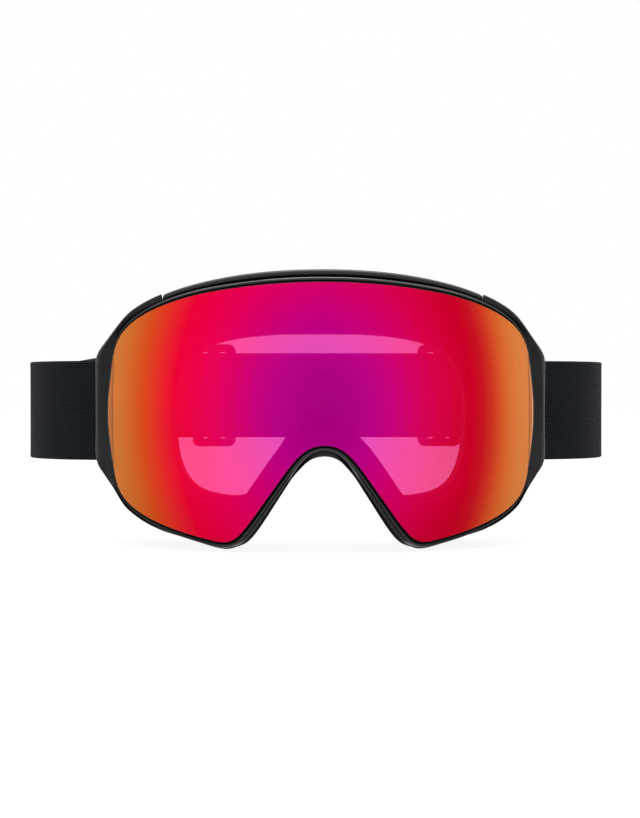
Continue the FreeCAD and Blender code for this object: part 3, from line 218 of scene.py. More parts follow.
def inset(amount):
    """a clean inward offset of the lens edge, in the unrolled plane"""
    dense = unroll(lens_closed[::2])
    t = np.roll(dense, -1, 0) - np.roll(dense, 1, 0)
    t = t / np.linalg.norm(t, axis=1)[:, None]
    n = np.column_stack([-t[:, 1], t[:, 0]])
    if n[np.argmax(dense[:, 1]), 1] < 0:
        n = -n
    c = dense - amount * n
    d = np.sqrt(((c[:, None, :] - dense[None, :, :]) ** 2).sum(2)).min(1)
    half = right_half(c[d >= amount - 0.02])
    for _ in range(6):
        q = half.copy()
        q[1:-1] = (half[:-2] + 2 * half[1:-1] + half[2:]) / 4
        half = q
    return Outline(half)


INNER_EDGE = inset(INNER_INSET)
SPACER_OUT = inset(INNER_INSET + 0.1)
SPACER_IN = inset(INNER_INSET + SPACER_W)
CARRIER_IN = inset(RIM_INSET)


def bend(p, depth):
    angle = p[:, 0] / R
    depth = np.broadcast_to(np.asarray(depth, float), angle.shape)
    return np.column_stack(
        [(R - depth) * np.sin(angle), R - (R - depth) * np.cos(angle), p[:, 1]]
    )


def outset(u, amount):
    amount = np.broadcast_to(np.asarray(amount, float), np.shape(u))
    return LENS.at(u) + amount[:, None] * LENS.normal(u)


def rim_unrolled(u):
    return unroll(RIM.at(u))


def between(u, f, depth):
    a, b = LENS.at(u), rim_unrolled(u)
    f = np.broadcast_to(np.asarray(f, float), np.shape(u))
    return bend(a + f[:, None] * (b - a), depth)


def face_depth(x, z):
    nose = NOSE_PULL * np.exp(-((x / 20.0) ** 2)) * sstep((6.0 - z) / 26.0)
    return FACE_Y + FACE_R - np.sqrt(FACE_R**2 - x**2) - nose


def stations(counts=(56, 56, 50), extra=()):
    u = []
    for k, n in enumerate(counts):
        f = np.arange(n) / n
        if k == 1:
            f = 1 - (1 - f) ** 1.3
        if k == 2:
            f = f**1.3
        u += list(k + f)
    u.append(3.0)
    u += list(extra)
    return np.array(sorted(set(np.round(u, 6))))


# ---------------------------------------------------------------- meshes
def to_row(p):
    q = np.array(p, float).reshape(-1, 3)
    return np.column_stack([q[:, 0], q[:, 1] - OY, q[:, 2] - OZ]) * M


def new_object(name, verts, faces, uv=None):
    me = bpy.data.meshes.new(name)
    me.from_pydata([tuple(v) for v in verts], [], faces)
    me.update()
    ob = bpy.data.objects.new(name, me)
    scene.collection.objects.link(ob)
    if uv is not None:
        layer = me.uv_layers.new(name="strap_mm")
        idx = np.zeros(len(me.loops), np.int32)
        me.loops.foreach_get("vertex_index", idx)
        layer.data.foreach_set("uv", np.asarray(uv, np.float32)[idx].ravel())
    return ob


def rounded(corners, radii, seg=3):
    """each corner of a section becomes an arc; a corner is an array of points, one per station"""
    out, k_max = [], len(corners)
    for k in range(k_max):
        p, a, b = corners[k], corners[k - 1], corners[(k + 1) % k_max]
        r = radii[k]
        if np.isscalar(r) and r == 0:
            out.append(p)
            continue
        r = np.broadcast_to(np.asarray(r, float), (len(p),))
        da, db = a - p, b - p
        la, lb = np.linalg.norm(da, axis=1), np.linalg.norm(db, axis=1)
        ra, rb = np.minimum(r, 0.42 * la), np.minimum(r, 0.42 * lb)
        pa = p + da * (ra / np.maximum(la, 1e-9))[:, None]
        pb = p + db * (rb / np.maximum(lb, 1e-9))[:, None]
        for j in range(seg + 1):
            t = j / seg
            out.append((1 - t) ** 2 * pa + 2 * t * (1 - t) * p + t * t * pb)
    return out


def mirrored(p):
    left = p[::-1][1:-1] * np.array([-1, 1, 1])
    return np.vstack([p, left])


def ring_grid(corners):
    """(stations, section) grid of points all the way round from right-half corners"""
    return np.stack([mirrored(c) for c in corners], axis=1)


def ring_faces(s, k, skip=None):
    faces = []
    for i in range(s):
        i2 = (i + 1) % s
        for j in range(k):
            if skip is not None and skip[i, j]:
                continue
            j2 = (j + 1) % k
            faces.append((i * k + j, i2 * k + j, i2 * k + j2, i * k + j2))
    return faces


def ring_object(name, corners, extra_faces=None, skip=None):
    g = ring_grid(corners)
    s, k = g.shape[:2]
    faces = ring_faces(s, k, skip) + (extra_faces or [])
    ob = new_object(name, to_row(g), faces)
    tidy(ob)
    return ob


def tidy(ob, dist=2e-6):
    bm = bmesh.new()
    bm.from_mesh(ob.data)
    bmesh.ops.remove_doubles(bm, verts=bm.verts, dist=dist)
    bmesh.ops.dissolve_degenerate(bm, edges=bm.edges, dist=dist)
    bmesh.ops.recalc_face_normals(bm, faces=bm.faces)
    bm.to_mesh(ob.data)
    bm.free()
    ob.data.update()


def strip_object(name, g, uv=None, cap=True):
    """g: (stations, section) points, closed round the section, open along its length"""
    s, k = g.shape[:2]
    faces = []
    for i in range(s - 1):
        for j in range(k):
            j2 = (j + 1) % k
            faces.append((i * k + j, (i + 1) * k + j, (i + 1) * k + j2, i * k + j2))
    if cap:
        faces.append(tuple(range(k - 1, -1, -1)))
        faces.append(tuple((s - 1) * k + j for j in range(k)))
    ob = new_object(name, to_row(g), faces, None if uv is None else uv.reshape(-1, 2))
    bm = bmesh.new()
    bm.from_mesh(ob.data)
    bmesh.ops.recalc_face_normals(bm, faces=bm.faces)
    bm.to_mesh(ob.data)
    bm.free()
    return ob


def smooth(ob, angle=38, weighted=True):
    me = ob.data
    me.polygons.foreach_set("use_smooth", [True] * len(me.polygons))
    me.set_sharp_from_angle(angle=math.radians(angle))
    if weighted:
        mod = ob.modifiers.new("weighted_normals", "WEIGHTED_NORMAL")
        mod.keep_sharp = True
        mod.weight = 60
    return ob


def apply_modifiers(ob):
    bpy.context.view_layer.update()
    dg = bpy.context.evaluated_depsgraph_get()
    me = bpy.data.meshes.new_from_object(ob.evaluated_get(dg))
    old = ob.data
    ob.modifiers.clear()
    ob.data = me
    me.name = ob.name
    bpy.data.meshes.remove(old)
    return ob


def rounded_block(name, size, middle, turn_z=0.0, bevel=0.4, seg=3):
    """a moulded block with rounded edges, in design mm, turned about Z"""
    bm = bmesh.new()
    bmesh.ops.create_cube(bm, size=1.0)
    for v in bm.verts:
        v.co = Vector((v.co.x * size[0], v.co.y * size[1], v.co.z * size[2]))
    if bevel > 0:
        bmesh.ops.bevel(
            bm, geom=bm.edges[:], offset=bevel, segments=seg, profile=0.5, affect="EDGES"
        )
    rot = Matrix.Rotation(math.radians(turn_z), 4, "Z")
    me = bpy.data.meshes.new(name)
    for v in bm.verts:
        q = rot @ v.co + Vector(middle)
        v.co = Vector((q.x * M, (q.y - OY) * M, (q.z - OZ) * M))
    bm.to_mesh(me)
    bm.free()
    ob = bpy.data.objects.new(name, me)
    scene.collection.objects.link(ob)
    return ob


def prism(name, outline, z0, z1, bevel=0.35, seg=3):
    """a plan outline (design x, y) raised from z0 to z1 with rounded edges"""
    bm = bmesh.new()
    low = [bm.verts.new((x * M, (y - OY) * M, (z0 - OZ) * M)) for x, y in outline]
    high = [bm.verts.new((x * M, (y - OY) * M, (z1 - OZ) * M)) for x, y in outline]
    n = len(outline)
    bm.faces.new(low[::-1])
    bm.faces.new(high)
    for i in range(n):
        bm.faces.new((low[i], low[(i + 1) % n], high[(i + 1) % n], high[i]))
    bmesh.ops.recalc_face_normals(bm, faces=bm.faces)
    if bevel > 0:
        bmesh.ops.bevel(
            bm, geom=bm.edges[:], offset=bevel * M, segments=seg, profile=0.5, affect="EDGES",
            clamp_overlap=True,
        )
    me = bpy.data.meshes.new(name)
    bm.to_mesh(me)
    bm.free()
    ob = bpy.data.objects.new(name, me)
    scene.collection.objects.link(ob)
    return ob


def boolean(ob, tools, operation):
    for tool in tools:
        mod = ob.modifiers.new(operation.lower(), "BOOLEAN")
        mod.operation = operation
        mod.solver = "EXACT"
        mod.object = tool
    apply_modifiers(ob)
    for tool in tools:
        bpy.data.objects.remove(tool)
    return ob


# ---------------------------------------------------------------- materials
def srgb(r, g, b):
    out = []
    for c in (r, g, b):
        c /= 255.0
        out.append(c / 12.92 if c <= 0.04045 else ((c + 0.055) / 1.055) ** 2.4)
    return (*out, 1.0)


class Mat:
    def __init__(self, name):
        self.m = bpy.data.materials.new(name)
        self.m.use_nodes = True
        self.t = self.m.node_tree
        self.t.nodes.clear()
        self.out = self.node("ShaderNodeOutputMaterial")

    def node(self, kind, **values):
        n = self.t.nodes.new(kind)
        for key, value in values.items():
            if hasattr(n, key):
                setattr(n, key, value)
        return n

    def link(self, a, b):
        self.t.links.new(a, b)

    def principled(self, **inputs):
        p = self.node("ShaderNodeBsdfPrincipled")
        for key, value in inputs.items():
            p.inputs[key.replace("_", " ")].default_value = value
        return p

    def coords(self, kind="Object"):
        return self.node("ShaderNodeTexCoord").outputs[kind]

    def noise(self, scale, detail=3.0, rough=0.55, vector=None):
        n = self.node("ShaderNodeTexNoise")
        n.inputs["Scale"].default_value = scale
        n.inputs["Detail"].default_value = detail
        n.inputs["Roughness"].default_value = rough
        self.link(vector if vector is not None else self.coords(), n.inputs["Vector"])
        return n.outputs["Fac"]

    def voronoi(self, scale, feature="F1", vector=None, rand=1.0):
        n = self.node("ShaderNodeTexVoronoi")
        n.feature = feature
        n.inputs["Scale"].default_value = scale
        n.inputs["Randomness"].default_value = rand
        self.link(vector if vector is not None else self.coords(), n.inputs["Vector"])
        return n.outputs["Distance"]

    def math(self, op, a, b=None, c=None, clamp=False):
        n = self.node("ShaderNodeMath", operation=op)
        n.use_clamp = clamp
        for i, v in enumerate((a, b, c)):
            if v is None:
                continue
            if isinstance(v, (int, float)):
                n.inputs[i].default_value = v
            else:
                self.link(v, n.inputs[i])
        return n.outputs[0]

    def remap(self, v, lo, hi, to_lo, to_hi):
        n = self.node("ShaderNodeMapRange")
        n.clamp = True
        self.link(v, n.inputs["Value"])
        for key, value in (("From Min", lo), ("From Max", hi), ("To Min", to_lo), ("To Max", to_hi)):
            n.inputs[key].default_value = value
        return n.outputs["Result"]

    def ramp(self, v, stops, mode="LINEAR"):
        n = self.node("ShaderNodeValToRGB")
        n.color_ramp.interpolation = mode
        e = n.color_ramp.elements
        while len(e) > 1:
            e.remove(e[-1])
        e[0].position, e[0].color = stops[0]
        for pos, col in stops[1:]:
            x = e.new(pos)
            x.color = col
        self.link(v, n.inputs["Fac"])
        return n.outputs["Color"]

    def mix(self, f, a, b, mode="MIX"):
        n = self.node("ShaderNodeMix", data_type="RGBA")
        n.blend_type = mode
        for key, v in (("Factor", f), ("A", a), ("B", b)):
            sockets = [s for s in n.inputs if s.name == key and s.enabled]
            if isinstance(v, (int, float)):
                sockets[0].default_value = v
            elif isinstance(v, tuple):
                sockets[0].default_value = v
            else:
                self.link(v, sockets[0])
        return [s for s in n.outputs if s.enabled][0]

    def bump(self, height, strength, distance, normal=None):
        n = self.node("ShaderNodeBump")
        n.inputs["Strength"].default_value = strength
        n.inputs["Distance"].default_value = distance
        self.link(height, n.inputs["Height"])
        if normal is not None:
            self.link(normal, n.inputs["Normal"])
        return n.outputs["Normal"]

    def surface(self, shader):
        self.link(shader, self.out.inputs["Surface"])
        return self.m


def plastic(name, base, rough, grain=0.25, edge=0.35, spec=0.4, under=None):
    """moulded plastic: fine spark-eroded grain, slight gloss variation and lighter edges, partly rubbed wear and
    partly a painted rim highlight
    """
    k = Mat(name)
    p = k.principled(Specular_IOR_Level=spec)
    big = k.noise(55.0, 3.0)
    fine = k.noise(5200.0, 2.0, 0.6)
    geo = k.node("ShaderNodeNewGeometry")
    # curved edges are lightened: partly rubbed wear, partly a painted highlight along the rounded rims
    wear_and_highlight = k.remap(geo.outputs["Pointiness"], 0.51, 0.60, 0.0, 1.0)
    wear_and_highlight = k.math("MULTIPLY", wear_and_highlight, k.remap(k.noise(260.0, 4.0), 0.35, 0.7, 0.2, 1.0))
    lighter = tuple(min(1.0, c * 2.1 + 0.012) for c in base[:3]) + (1.0,)
    mottled = k.mix(k.remap(big, 0.3, 0.7, 0.0, 1.0), tuple(c * 0.85 for c in base[:3]) + (1.0,), base)
    colour = k.mix(k.math("MULTIPLY", wear_and_highlight, edge), mottled, lighter)
    k.link(colour, p.inputs["Base Color"])
    r = k.math("ADD", k.remap(big, 0.3, 0.7, rough - 0.04, rough + 0.04), k.remap(fine, 0.3, 0.7, -0.03, 0.03))
    k.link(r, p.inputs["Roughness"])
    k.link(k.bump(fine, grain, 0.00006), p.inputs["Normal"])
    if under is not None:
        # sideways facets low on the rim take less glare from the pale floor
        facing, at = k.node("ShaderNodeSeparateXYZ"), k.node("ShaderNodeSeparateXYZ")
        k.link(geo.outputs["Normal"], facing.inputs[0])
        k.link(k.coords(), at.inputs[0])
        side = k.remap(k.math("ABSOLUTE", facing.outputs[0]), 0.15, 0.45, 0.0, 1.0)
        low = k.remap(at.outputs[2], -0.026, -0.018, 1.0, 0.0)
        toward = k.math("MULTIPLY", facing.outputs[0], k.math("SIGN", at.outputs[0]))
        nose = k.math("MULTIPLY", k.remap(toward, -0.6, -0.3, 1.0, 0.0), low)
        level = k.remap(k.math("MULTIPLY", side, low), 0.0, 1.0, spec, spec * under)
        k.link(k.math("MULTIPLY", level, k.remap(nose, 0.0, 1.0, 1.0, 0.03)), p.inputs["Specular IOR Level"])
    return k.surface(p.outputs[0])


def steel(name, base, rough=0.3):
    k = Mat(name)
    p = k.principled(Metallic=1.0)
    v = k.node("ShaderNodeMapping")
    v.inputs["Scale"].default_value = (1.0, 1.0, 0.06)
    k.link(k.coords(), v.inputs["Vector"])
    streak = k.noise(3800.0, 3.0, 0.6, v.outputs[0])
    k.link(k.mix(k.remap(streak, 0.3, 0.7, 0.0, 1.0), tuple(c * 0.75 for c in base[:3]) + (1.0,), base), p.inputs["Base Color"])
    k.link(k.remap(streak, 0.3, 0.7, rough - 0.08, rough + 0.12), p.inputs["Roughness"])
    k.link(k.bump(streak, 0.15, 0.00003), p.inputs["Normal"])
    return k.surface(p.outputs[0])


def foam(name, base, cell=1500.0, depth=0.0003, strength=0.7):
    """open-cell foam: round pores of two sizes, their hollows darkened with painted shade"""
    k = Mat(name)
    p = k.principled(Roughness=0.95, Specular_IOR_Level=0.18)
    pores = k.voronoi(cell)
    small = k.voronoi(cell * 2.3)
    h = k.math("ADD", k.remap(pores, 0.05, 0.55, 0.0, 1.0), k.math("MULTIPLY", small, 0.4))
    # painted shade: the pore hollows are coloured darker than the cell walls
    hollow_shade = tuple(c * 0.35 for c in base[:3]) + (1.0,)
    light = tuple(min(1.0, c * 1.35) for c in base[:3]) + (1.0,)
    shade = k.mix(k.remap(pores, 0.08, 0.5, 0.0, 1.0), hollow_shade, light)
    shade = k.mix(k.remap(k.noise(120.0), 0.3, 0.7, 0.0, 0.5), shade, base)
    k.link(shade, p.inputs["Base Color"])
    k.link(k.bump(h, strength, depth), p.inputs["Normal"])
    return k.surface(p.outputs[0])


def fleece_material(name, base):
    k = Mat(name)
    p = k.principled(Roughness=1.0, Specular_IOR_Level=0.1, Sheen_Weight=0.35, Sheen_Roughness=0.5)
    tuft = k.noise(1500.0, 5.0, 0.7)
    fibre = k.noise(5200.0, 3.0, 0.7)
    clump = k.noise(260.0, 4.0, 0.6)
    shade = k.mix(k.remap(tuft, 0.32, 0.68, 0.0, 1.0), tuple(c * 0.45 for c in base[:3]) + (1.0,), tuple(c * 1.5 for c in base[:3]) + (1.0,))
    shade = k.mix(k.remap(clump, 0.35, 0.65, 0.0, 0.55), shade, base)
    k.link(shade, p.inputs["Base Color"])
    h = k.math("ADD", tuft, k.math("MULTIPLY", fibre, 0.5))
    k.link(k.bump(h, 0.8, 0.0004), p.inputs["Normal"])
    return k.surface(p.outputs[0])


def webbing_material(name, base):
    """woven elastic: fine ribs along the strap, crossed by the weft; reads the strap's own mm"""
    k = Mat(name)
    p = k.principled(Roughness=0.9, Specular_IOR_Level=0.07, Sheen_Weight=0.02, Sheen_Roughness=0.4)
    uv = k.node("ShaderNodeUVMap")
    uv.uv_map = "strap_mm"
    sep = k.node("ShaderNodeSeparateXYZ")
    k.link(uv.outputs[0], sep.inputs[0])
    u, v = sep.outputs[0], sep.outputs[1]
    # uv is in mm / 100
    row = k.math("MULTIPLY", v, 100.0 * 2 * math.pi / 0.85)
    column = k.math("MULTIPLY", u, 100.0 * 2 * math.pi / 0.7)
    shifted = k.math("ADD", column, k.math("MULTIPLY", row, 0.5))
    rib = k.math("SINE", row)
    knit = k.math("MULTIPLY", k.math("SINE", shifted), k.math("COSINE", k.math("MULTIPLY", row, 0.5)))
    fuzz = k.noise(4200.0, 4.0, 0.7)
    patch = k.noise(180.0, 4.0, 0.6)
    h = k.math("ADD", k.math("MULTIPLY", rib, 0.45), k.math("MULTIPLY", knit, 0.4))
    h = k.math("ADD", h, k.math("MULTIPLY", fuzz, 0.5))
    shade = k.mix(k.remap(h, -0.6, 1.1, 0.0, 1.0), tuple(c * 0.5 for c in base[:3]) + (1.0,), tuple(c * 1.6 for c in base[:3]) + (1.0,))
    shade = k.mix(k.remap(patch, 0.35, 0.65, 0.0, 0.4), shade, base)
    k.link(shade, p.inputs["Base Color"])
    k.link(k.bump(h, 0.75, 0.00018), p.inputs["Normal"])
    return k.surface(p.outputs[0])


def thread_material(name, base):
    k = Mat(name)
    p = k.principled(Roughness=0.6, Specular_IOR_Level=0.35, Sheen_Weight=0.3)
    n = k.noise(6500.0, 3.0, 0.7)
    k.link(k.mix(k.remap(n, 0.3, 0.7, 0.0, 1.0), tuple(c * 0.6 for c in base[:3]) + (1.0,), tuple(c * 1.4 for c in base[:3]) + (1.0,)), p.inputs["Base Color"])
    k.link(k.bump(n, 0.5, 0.00008), p.inputs["Normal"])
    return k.surface(p.outputs[0])


def silicone_material(name, base):
    k = Mat(name)
    p = k.principled(Roughness=0.6, Specular_IOR_Level=0.12)
    n = k.noise(900.0, 3.0)
    k.link(k.mix(k.remap(n, 0.3, 0.7, 0.0, 1.0), tuple(c * 0.8 for c in base[:3]) + (1.0,), base), p.inputs["Base Color"])
    k.link(k.remap(n, 0.3, 0.7, 0.52, 0.7), p.inputs["Roughness"])
    k.link(k.bump(n, 0.25, 0.00008), p.inputs["Normal"])
    return k.surface(p.outputs[0])


def lens_mirror_material(name):
    """multi-layer mirror coat: purple straight on, through magenta and red to orange at the wrapped
    sides, warmer on one side than the other; what is behind shows through tinted rose"""
    k = Mat(name)
    sep = k.node("ShaderNodeSeparateXYZ")
    k.link(k.coords(), sep.inputs[0])
    x = k.math("MULTIPLY", sep.outputs[0], 1000.0)
    z = k.math("MULTIPLY", sep.outputs[2], 700.0)
    r = k.math("SQRT", k.math("ADD", k.math("MULTIPLY", x, x), k.math("MULTIPLY", z, z)))
    wobble = k.math("MULTIPLY", k.math("SUBTRACT", k.noise(16.0, 2.0), 0.5), 2.2)
    t = k.math("DIVIDE", k.math("ADD", r, wobble), 90.0, clamp=True)
    left = [
        (0, (165, 0, 122)), (10, (171, 0, 126)), (18, (181, 0, 130)), (26, (197, 0, 120)),
        (34, (213, 0, 102)), (42, (228, 0, 85)), (50, (233, 0, 66)), (57, (234, 3, 51)),
        (62, (230, 34, 42)), (66, (223, 56, 32)), (70, (214, 75, 25)), (78, (205, 108, 39)), (82, (204, 115, 45)), (86, (190, 108, 30)), (90, (180, 104, 18)),
    ]
    right = [
        (0, (165, 0, 122)), (10, (169, 0, 127)), (18, (183, 0, 130)), (26, (199, 0, 117)),
        (34, (209, 0, 96)), (42, (213, 0, 71)), (50, (207, 0, 50)), (57, (199, 0, 35)),
        (62, (197, 16, 30)), (66, (203, 48, 30)), (70, (212, 83, 34)), (74, (214, 107, 43)),
        (78, (214, 120, 52)), (82, (213, 122, 50)), (86, (196, 112, 34)), (90, (186, 108, 22)),
    ]
    pair = []
    for stops in (left, right):
        pair.append(k.ramp(t, [(min(1.0, mm / 90.0), srgb(*c)) for mm, c in stops]))
    colour = k.mix(k.remap(x, -9.0, 9.0, 0.0, 1.0), pair[0], pair[1])
    # a slim crescent at each side, where the coat rolls over to the gripping edge
    zz = k.math("ADD", k.math("MULTIPLY", sep.outputs[2], 1000.0), 2.0)
    arc = k.math("SUBTRACT", 82.55, k.math("MULTIPLY", k.math("MULTIPLY", zz, zz), 0.0012))
    past = k.math("SUBTRACT", k.math("ABSOLUTE", x), arc)
    inside = k.remap(past, -0.1, 0.15, 0.0, 1.0)
    line = k.math("SUBTRACT", 1.0, k.remap(k.math("ABSOLUTE", past), 0.1, 0.36, 0.0, 1.0))
    span = k.remap(k.math("ABSOLUTE", zz), 21.0, 25.0, 1.0, 0.0)
    dim = k.math("SUBTRACT", 1.0, k.math("MULTIPLY", span, k.math("ADD", k.math("MULTIPLY", inside, 0.24), k.math("MULTIPLY", line, 0.34))))
    # a little deeper towards the lower edge
    dim = k.math("MULTIPLY", dim, k.remap(zz, -46.0, -24.0, 0.85, 1.0))
    scaled = k.node("ShaderNodeVectorMath", operation="SCALE")
    k.link(colour, scaled.inputs[0])
    k.link(dim, scaled.inputs["Scale"])
    p = k.principled(Metallic=1.0)
    k.link(scaled.outputs[0], p.inputs["Base Color"])
    smear = k.noise(9.0, 4.0, 0.6)
    k.link(k.remap(smear, 0.35, 0.65, 0.08, 0.14), p.inputs["Roughness"])
    clear = k.node("ShaderNodeBsdfTransparent")
    k.link(k.mix(k.remap(r, 20.0, 46.0, 0.0, 1.0), (0.43, 0.105, 0.31, 1.0), (0.29, 0.1, 0.265, 1.0)), clear.inputs["Color"])
    add = k.node("ShaderNodeAddShader")
    k.link(p.outputs[0], add.inputs[0])
    k.link(clear.outputs[0], add.inputs[1])
    return k.surface(add.outputs[0])


def clear_material(name, tint, gloss=0.05):
    k = Mat(name)
    clear = k.node("ShaderNodeBsdfTransparent")
    clear.inputs["Color"].default_value = tint
    p = k.principled(Roughness=0.08, Specular_IOR_Level=0.5)
    p.inputs["Base Color"].default_value = (0.05, 0.03, 0.045, 1.0)
    n = k.noise(30.0, 3.0)
    k.link(k.remap(n, 0.3, 0.7, 0.05, 0.12), p.inputs["Roughness"])
    m = k.node("ShaderNodeMixShader")
    m.inputs[0].default_value = gloss
    k.link(clear.outputs[0], m.inputs[1])
    k.link(p.outputs[0], m.inputs[2])
    return k.surface(m.outputs[0])


MATS = {
    "lens_mirror": lens_mirror_material("lens_mirror"),
    "lens_back": clear_material("lens_back", (0.97, 0.95, 0.96, 1.0), 0.04),
    "lens_edge": plastic("lens_edge", (0.003, 0.002, 0.003, 1), 0.5, 0.05, 0.0, 0.1),
    # near-black and almost without gloss: painted shade for the shadow line where the lens meets the carrier, also
    # used on the inner seal bead
    "seam_shadow_black": plastic("seam_shadow_black", (0.0012, 0.0012, 0.0013, 1), 0.75, 0.1, 0.0, 0.03),
    "lens_clear": clear_material("lens_clear", (0.96, 0.93, 0.95, 1.0), 0.05),
    "gasket_foam": foam("gasket_foam", (0.012, 0.012, 0.013, 1), 2200.0, 0.00015),
    "frame_plastic": plastic("frame_plastic", (0.0066, 0.007, 0.0082, 1), 0.42, 0.3, 0.3, 0.2, 0.3),
    "carrier_plastic": plastic("carrier_plastic", (0.0076, 0.0074, 0.0086, 1), 0.31, 0.2, 0.25, 0.42, 0.22),
    "trim_plastic": plastic("trim_plastic", (0.0105, 0.011, 0.0125, 1), 0.4, 0.25, 0.3, 0.3),
    "magnet_steel": steel("magnet_steel", (0.55, 0.55, 0.57, 1), 0.26),
    "vent_mesh": foam("vent_mesh", (0.02, 0.02, 0.021, 1), 900.0, 0.0006, 0.9),
    "foam_dense": foam("foam_dense", (0.016, 0.016, 0.018, 1), 2600.0, 0.00018),
    "foam_soft": foam("foam_soft", (0.034, 0.034, 0.038, 1), 1500.0, 0.0003),
    "fleece": fleece_material("fleece", (0.022, 0.022, 0.025, 1)),
    "webbing": webbing_material("webbing", (0.0066, 0.008, 0.0104, 1)),
    "thread": thread_material("thread", (0.016, 0.017, 0.02, 1)),
    "silicone": silicone_material("silicone", (0.0062, 0.0072, 0.0095, 1)),
    "hardware_plastic": plastic("hardware_plastic", (0.0065, 0.0065, 0.0075, 1), 0.3, 0.15, 0.25, 0.3),
    "pin_steel": steel("pin_steel", (0.32, 0.32, 0.34, 1), 0.3),
}


def paint(ob, *names):
    index = np.zeros(len(ob.data.polygons), np.int32)
    ob.data.polygons.foreach_get("material_index", index)
    ob.data.materials.clear()
    for n in names:
        ob.data.materials.append(MATS[n])
    ob.data.polygons.foreach_set("material_index", index)
    return ob


def place(ob, body, slot, replaced=(), mats=None):
    paint(ob, *(mats or [slot]))
    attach(ob, body)
    if replaced:
        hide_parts(*replaced)
    return ob


# ---------------------------------------------------------------- outer lens
def lens_sheet(name, edge, depth, thick, centre=(0.0, 14.0), rings=22):
    """a closed cylindrical sheet: concentric rows of vertices from the middle out, rounded edge"""
    u = stations((64, 70, 60))
    half = edge.at(u)
    full = np.vstack([half, half[::-1][1:-1] * np.array([-1, 1])])
    n = len(full)
    c = np.array(centre)
    nrm = edge.normal(u)
    nrm = np.vstack([nrm, nrm[::-1][1:-1] * np.array([-1, 1])])
    levels = []
    for i in range(1, rings + 1):
        f = i / rings
        f = 1 - (1 - f) ** 1.25
        levels.append(c + f * (full - 0.45 * nrm - c))
    verts, faces, tags = [], [], []

    front = [bend(np.array([c]), depth)] + [bend(p, depth) for p in levels]
    back = [bend(np.array([c]), depth + thick)] + [bend(p, depth + thick) for p in levels]
    edge_rows = []
    for out, d in ((-0.32, 0.03), (-0.14, 0.1), (-0.03, 0.24), (0.0, 0.42), (0.0, thick - 0.42), (-0.03, thick - 0.24), (-0.14, thick - 0.1), (-0.32, thick - 0.03)):
        edge_rows.append(bend(full + out * nrm, depth + d))
    index = {}

    def add(rows, key):
        start = len(verts)
        verts.extend([tuple(v) for v in rows])
        index[key] = start

    add(front[0], "fc")
    for i, p in enumerate(front[1:]):
        add(p, ("f", i))
    for i, p in enumerate(edge_rows):
        add(p, ("e", i))
    for i in range(len(back) - 2, -1, -1):
        add(back[1 + i], ("b", i))
    add(back[0], "bc")
    order = [("f", i) for i in range(rings)] + [("e", i) for i in range(len(edge_rows))] + [("b", i) for i in range(rings - 1, -1, -1)]
    for a, b in zip(order, order[1:]):
        tag = 0 if b[0] == "f" else (2 if b[0] == "b" and a[0] == "b" else 1)
        if a[0] == "f" and b[0] == "e":
            tag = 0
        if a[0] == "e" and b[0] == "b":
            tag = 2
        sa, sb = index[a], index[b]
        for j in range(n):
            j2 = (j + 1) % n
            faces.append((sa + j, sb + j, sb + j2, sa + j2))
            tags.append(tag)
    for j in range(n):
        j2 = (j + 1) % n
        faces.append((index["fc"], index[("f", 0)] + j, index[("f", 0)] + j2))
        tags.append(0)
        faces.append((index["bc"], index[("b", 0)] + j2, index[("b", 0)] + j))
        tags.append(2)
    ob = new_object(name, to_row(verts), faces)
    ob.data.polygons.foreach_set("material_index", tags)
    ob.data.polygons.foreach_set("use_smooth", [True] * len(faces))
    bm = bmesh.new()
    bm.from_mesh(ob.data)
    bmesh.ops.recalc_face_normals(bm, faces=bm.faces)
    bm.to_mesh(ob.data)
    bm.free()
    return ob


lens = lens_sheet("lens_outer_mirror", LENS, 0.0, LENS_T)
place(lens, "lens_assembly", "lens_mirror", ["lens_outer"], ["lens_mirror", "lens_edge", "lens_back"])

inner = lens_sheet("lens_inner_pane", INNER_EDGE, INNER_DEPTH, 1.0, rings=16)
place(inner, "lens_assembly", "lens_clear", ["lens_inner"], ["lens_clear", "lens_edge", "lens_clear"])

# ---------------------------------------------------------------- gasket foam and carrier
u = stations((50, 50, 46))
so, si = SPACER_OUT.at(u), SPACER_IN.at(u)
mid_in = si - 0.0
spacer = ring_object(
    "gasket_foam_ring",
    rounded(
        [
            bend(so, LENS_T + 0.06), bend(so, INNER_DEPTH - 0.06),
            bend(si, INNER_DEPTH - 0.06), bend(so + (si - so) * 0.93, (LENS_T + INNER_DEPTH) / 2), bend(si, LENS_T + 0.06),
        ],
        [0.3, 0.3, 0.5, 0.6, 0.5], 2,
    ),
)
smooth(spacer, 60)
place(spacer, "lens_assembly", "gasket_foam", ["lens_spacer_foam"])

u = stations((70, 70, 64))
closed = sstep((np.abs(bend(LENS.at(u), 0)[:, 0]) - 60.0) / 3.0)
shoulder = bend(outset(u, RIM_W - 0.2), 0.72) * (1 - closed)[:, None] + bend(outset(u, RIM_W - 0.06), 0.86) * closed[:, None]
carrier = ring_object(
    "lens_carrier_rim",
    rounded(
        [
            bend(outset(u, 0.6), 0.34), bend(outset(u, 1.15), 0.28), shoulder,
            bend(outset(u, RIM_W), 1.5), bend(outset(u, RIM_W), RIM_D - 0.7), bend(outset(u, RIM_W - 0.7), RIM_D),
            bend(CARRIER_IN.at(u), RIM_D), bend(CARRIER_IN.at(u), LENS_T + 0.1), bend(outset(u, 0.6), LENS_T + 0.1),
        ],
        [0.18, 0.5, 0.4, 0.4, 0.3, 0.3, 0.35, 0.2, 0.1], 3,
    ),
)
us_ = stations((70, 70, 64))
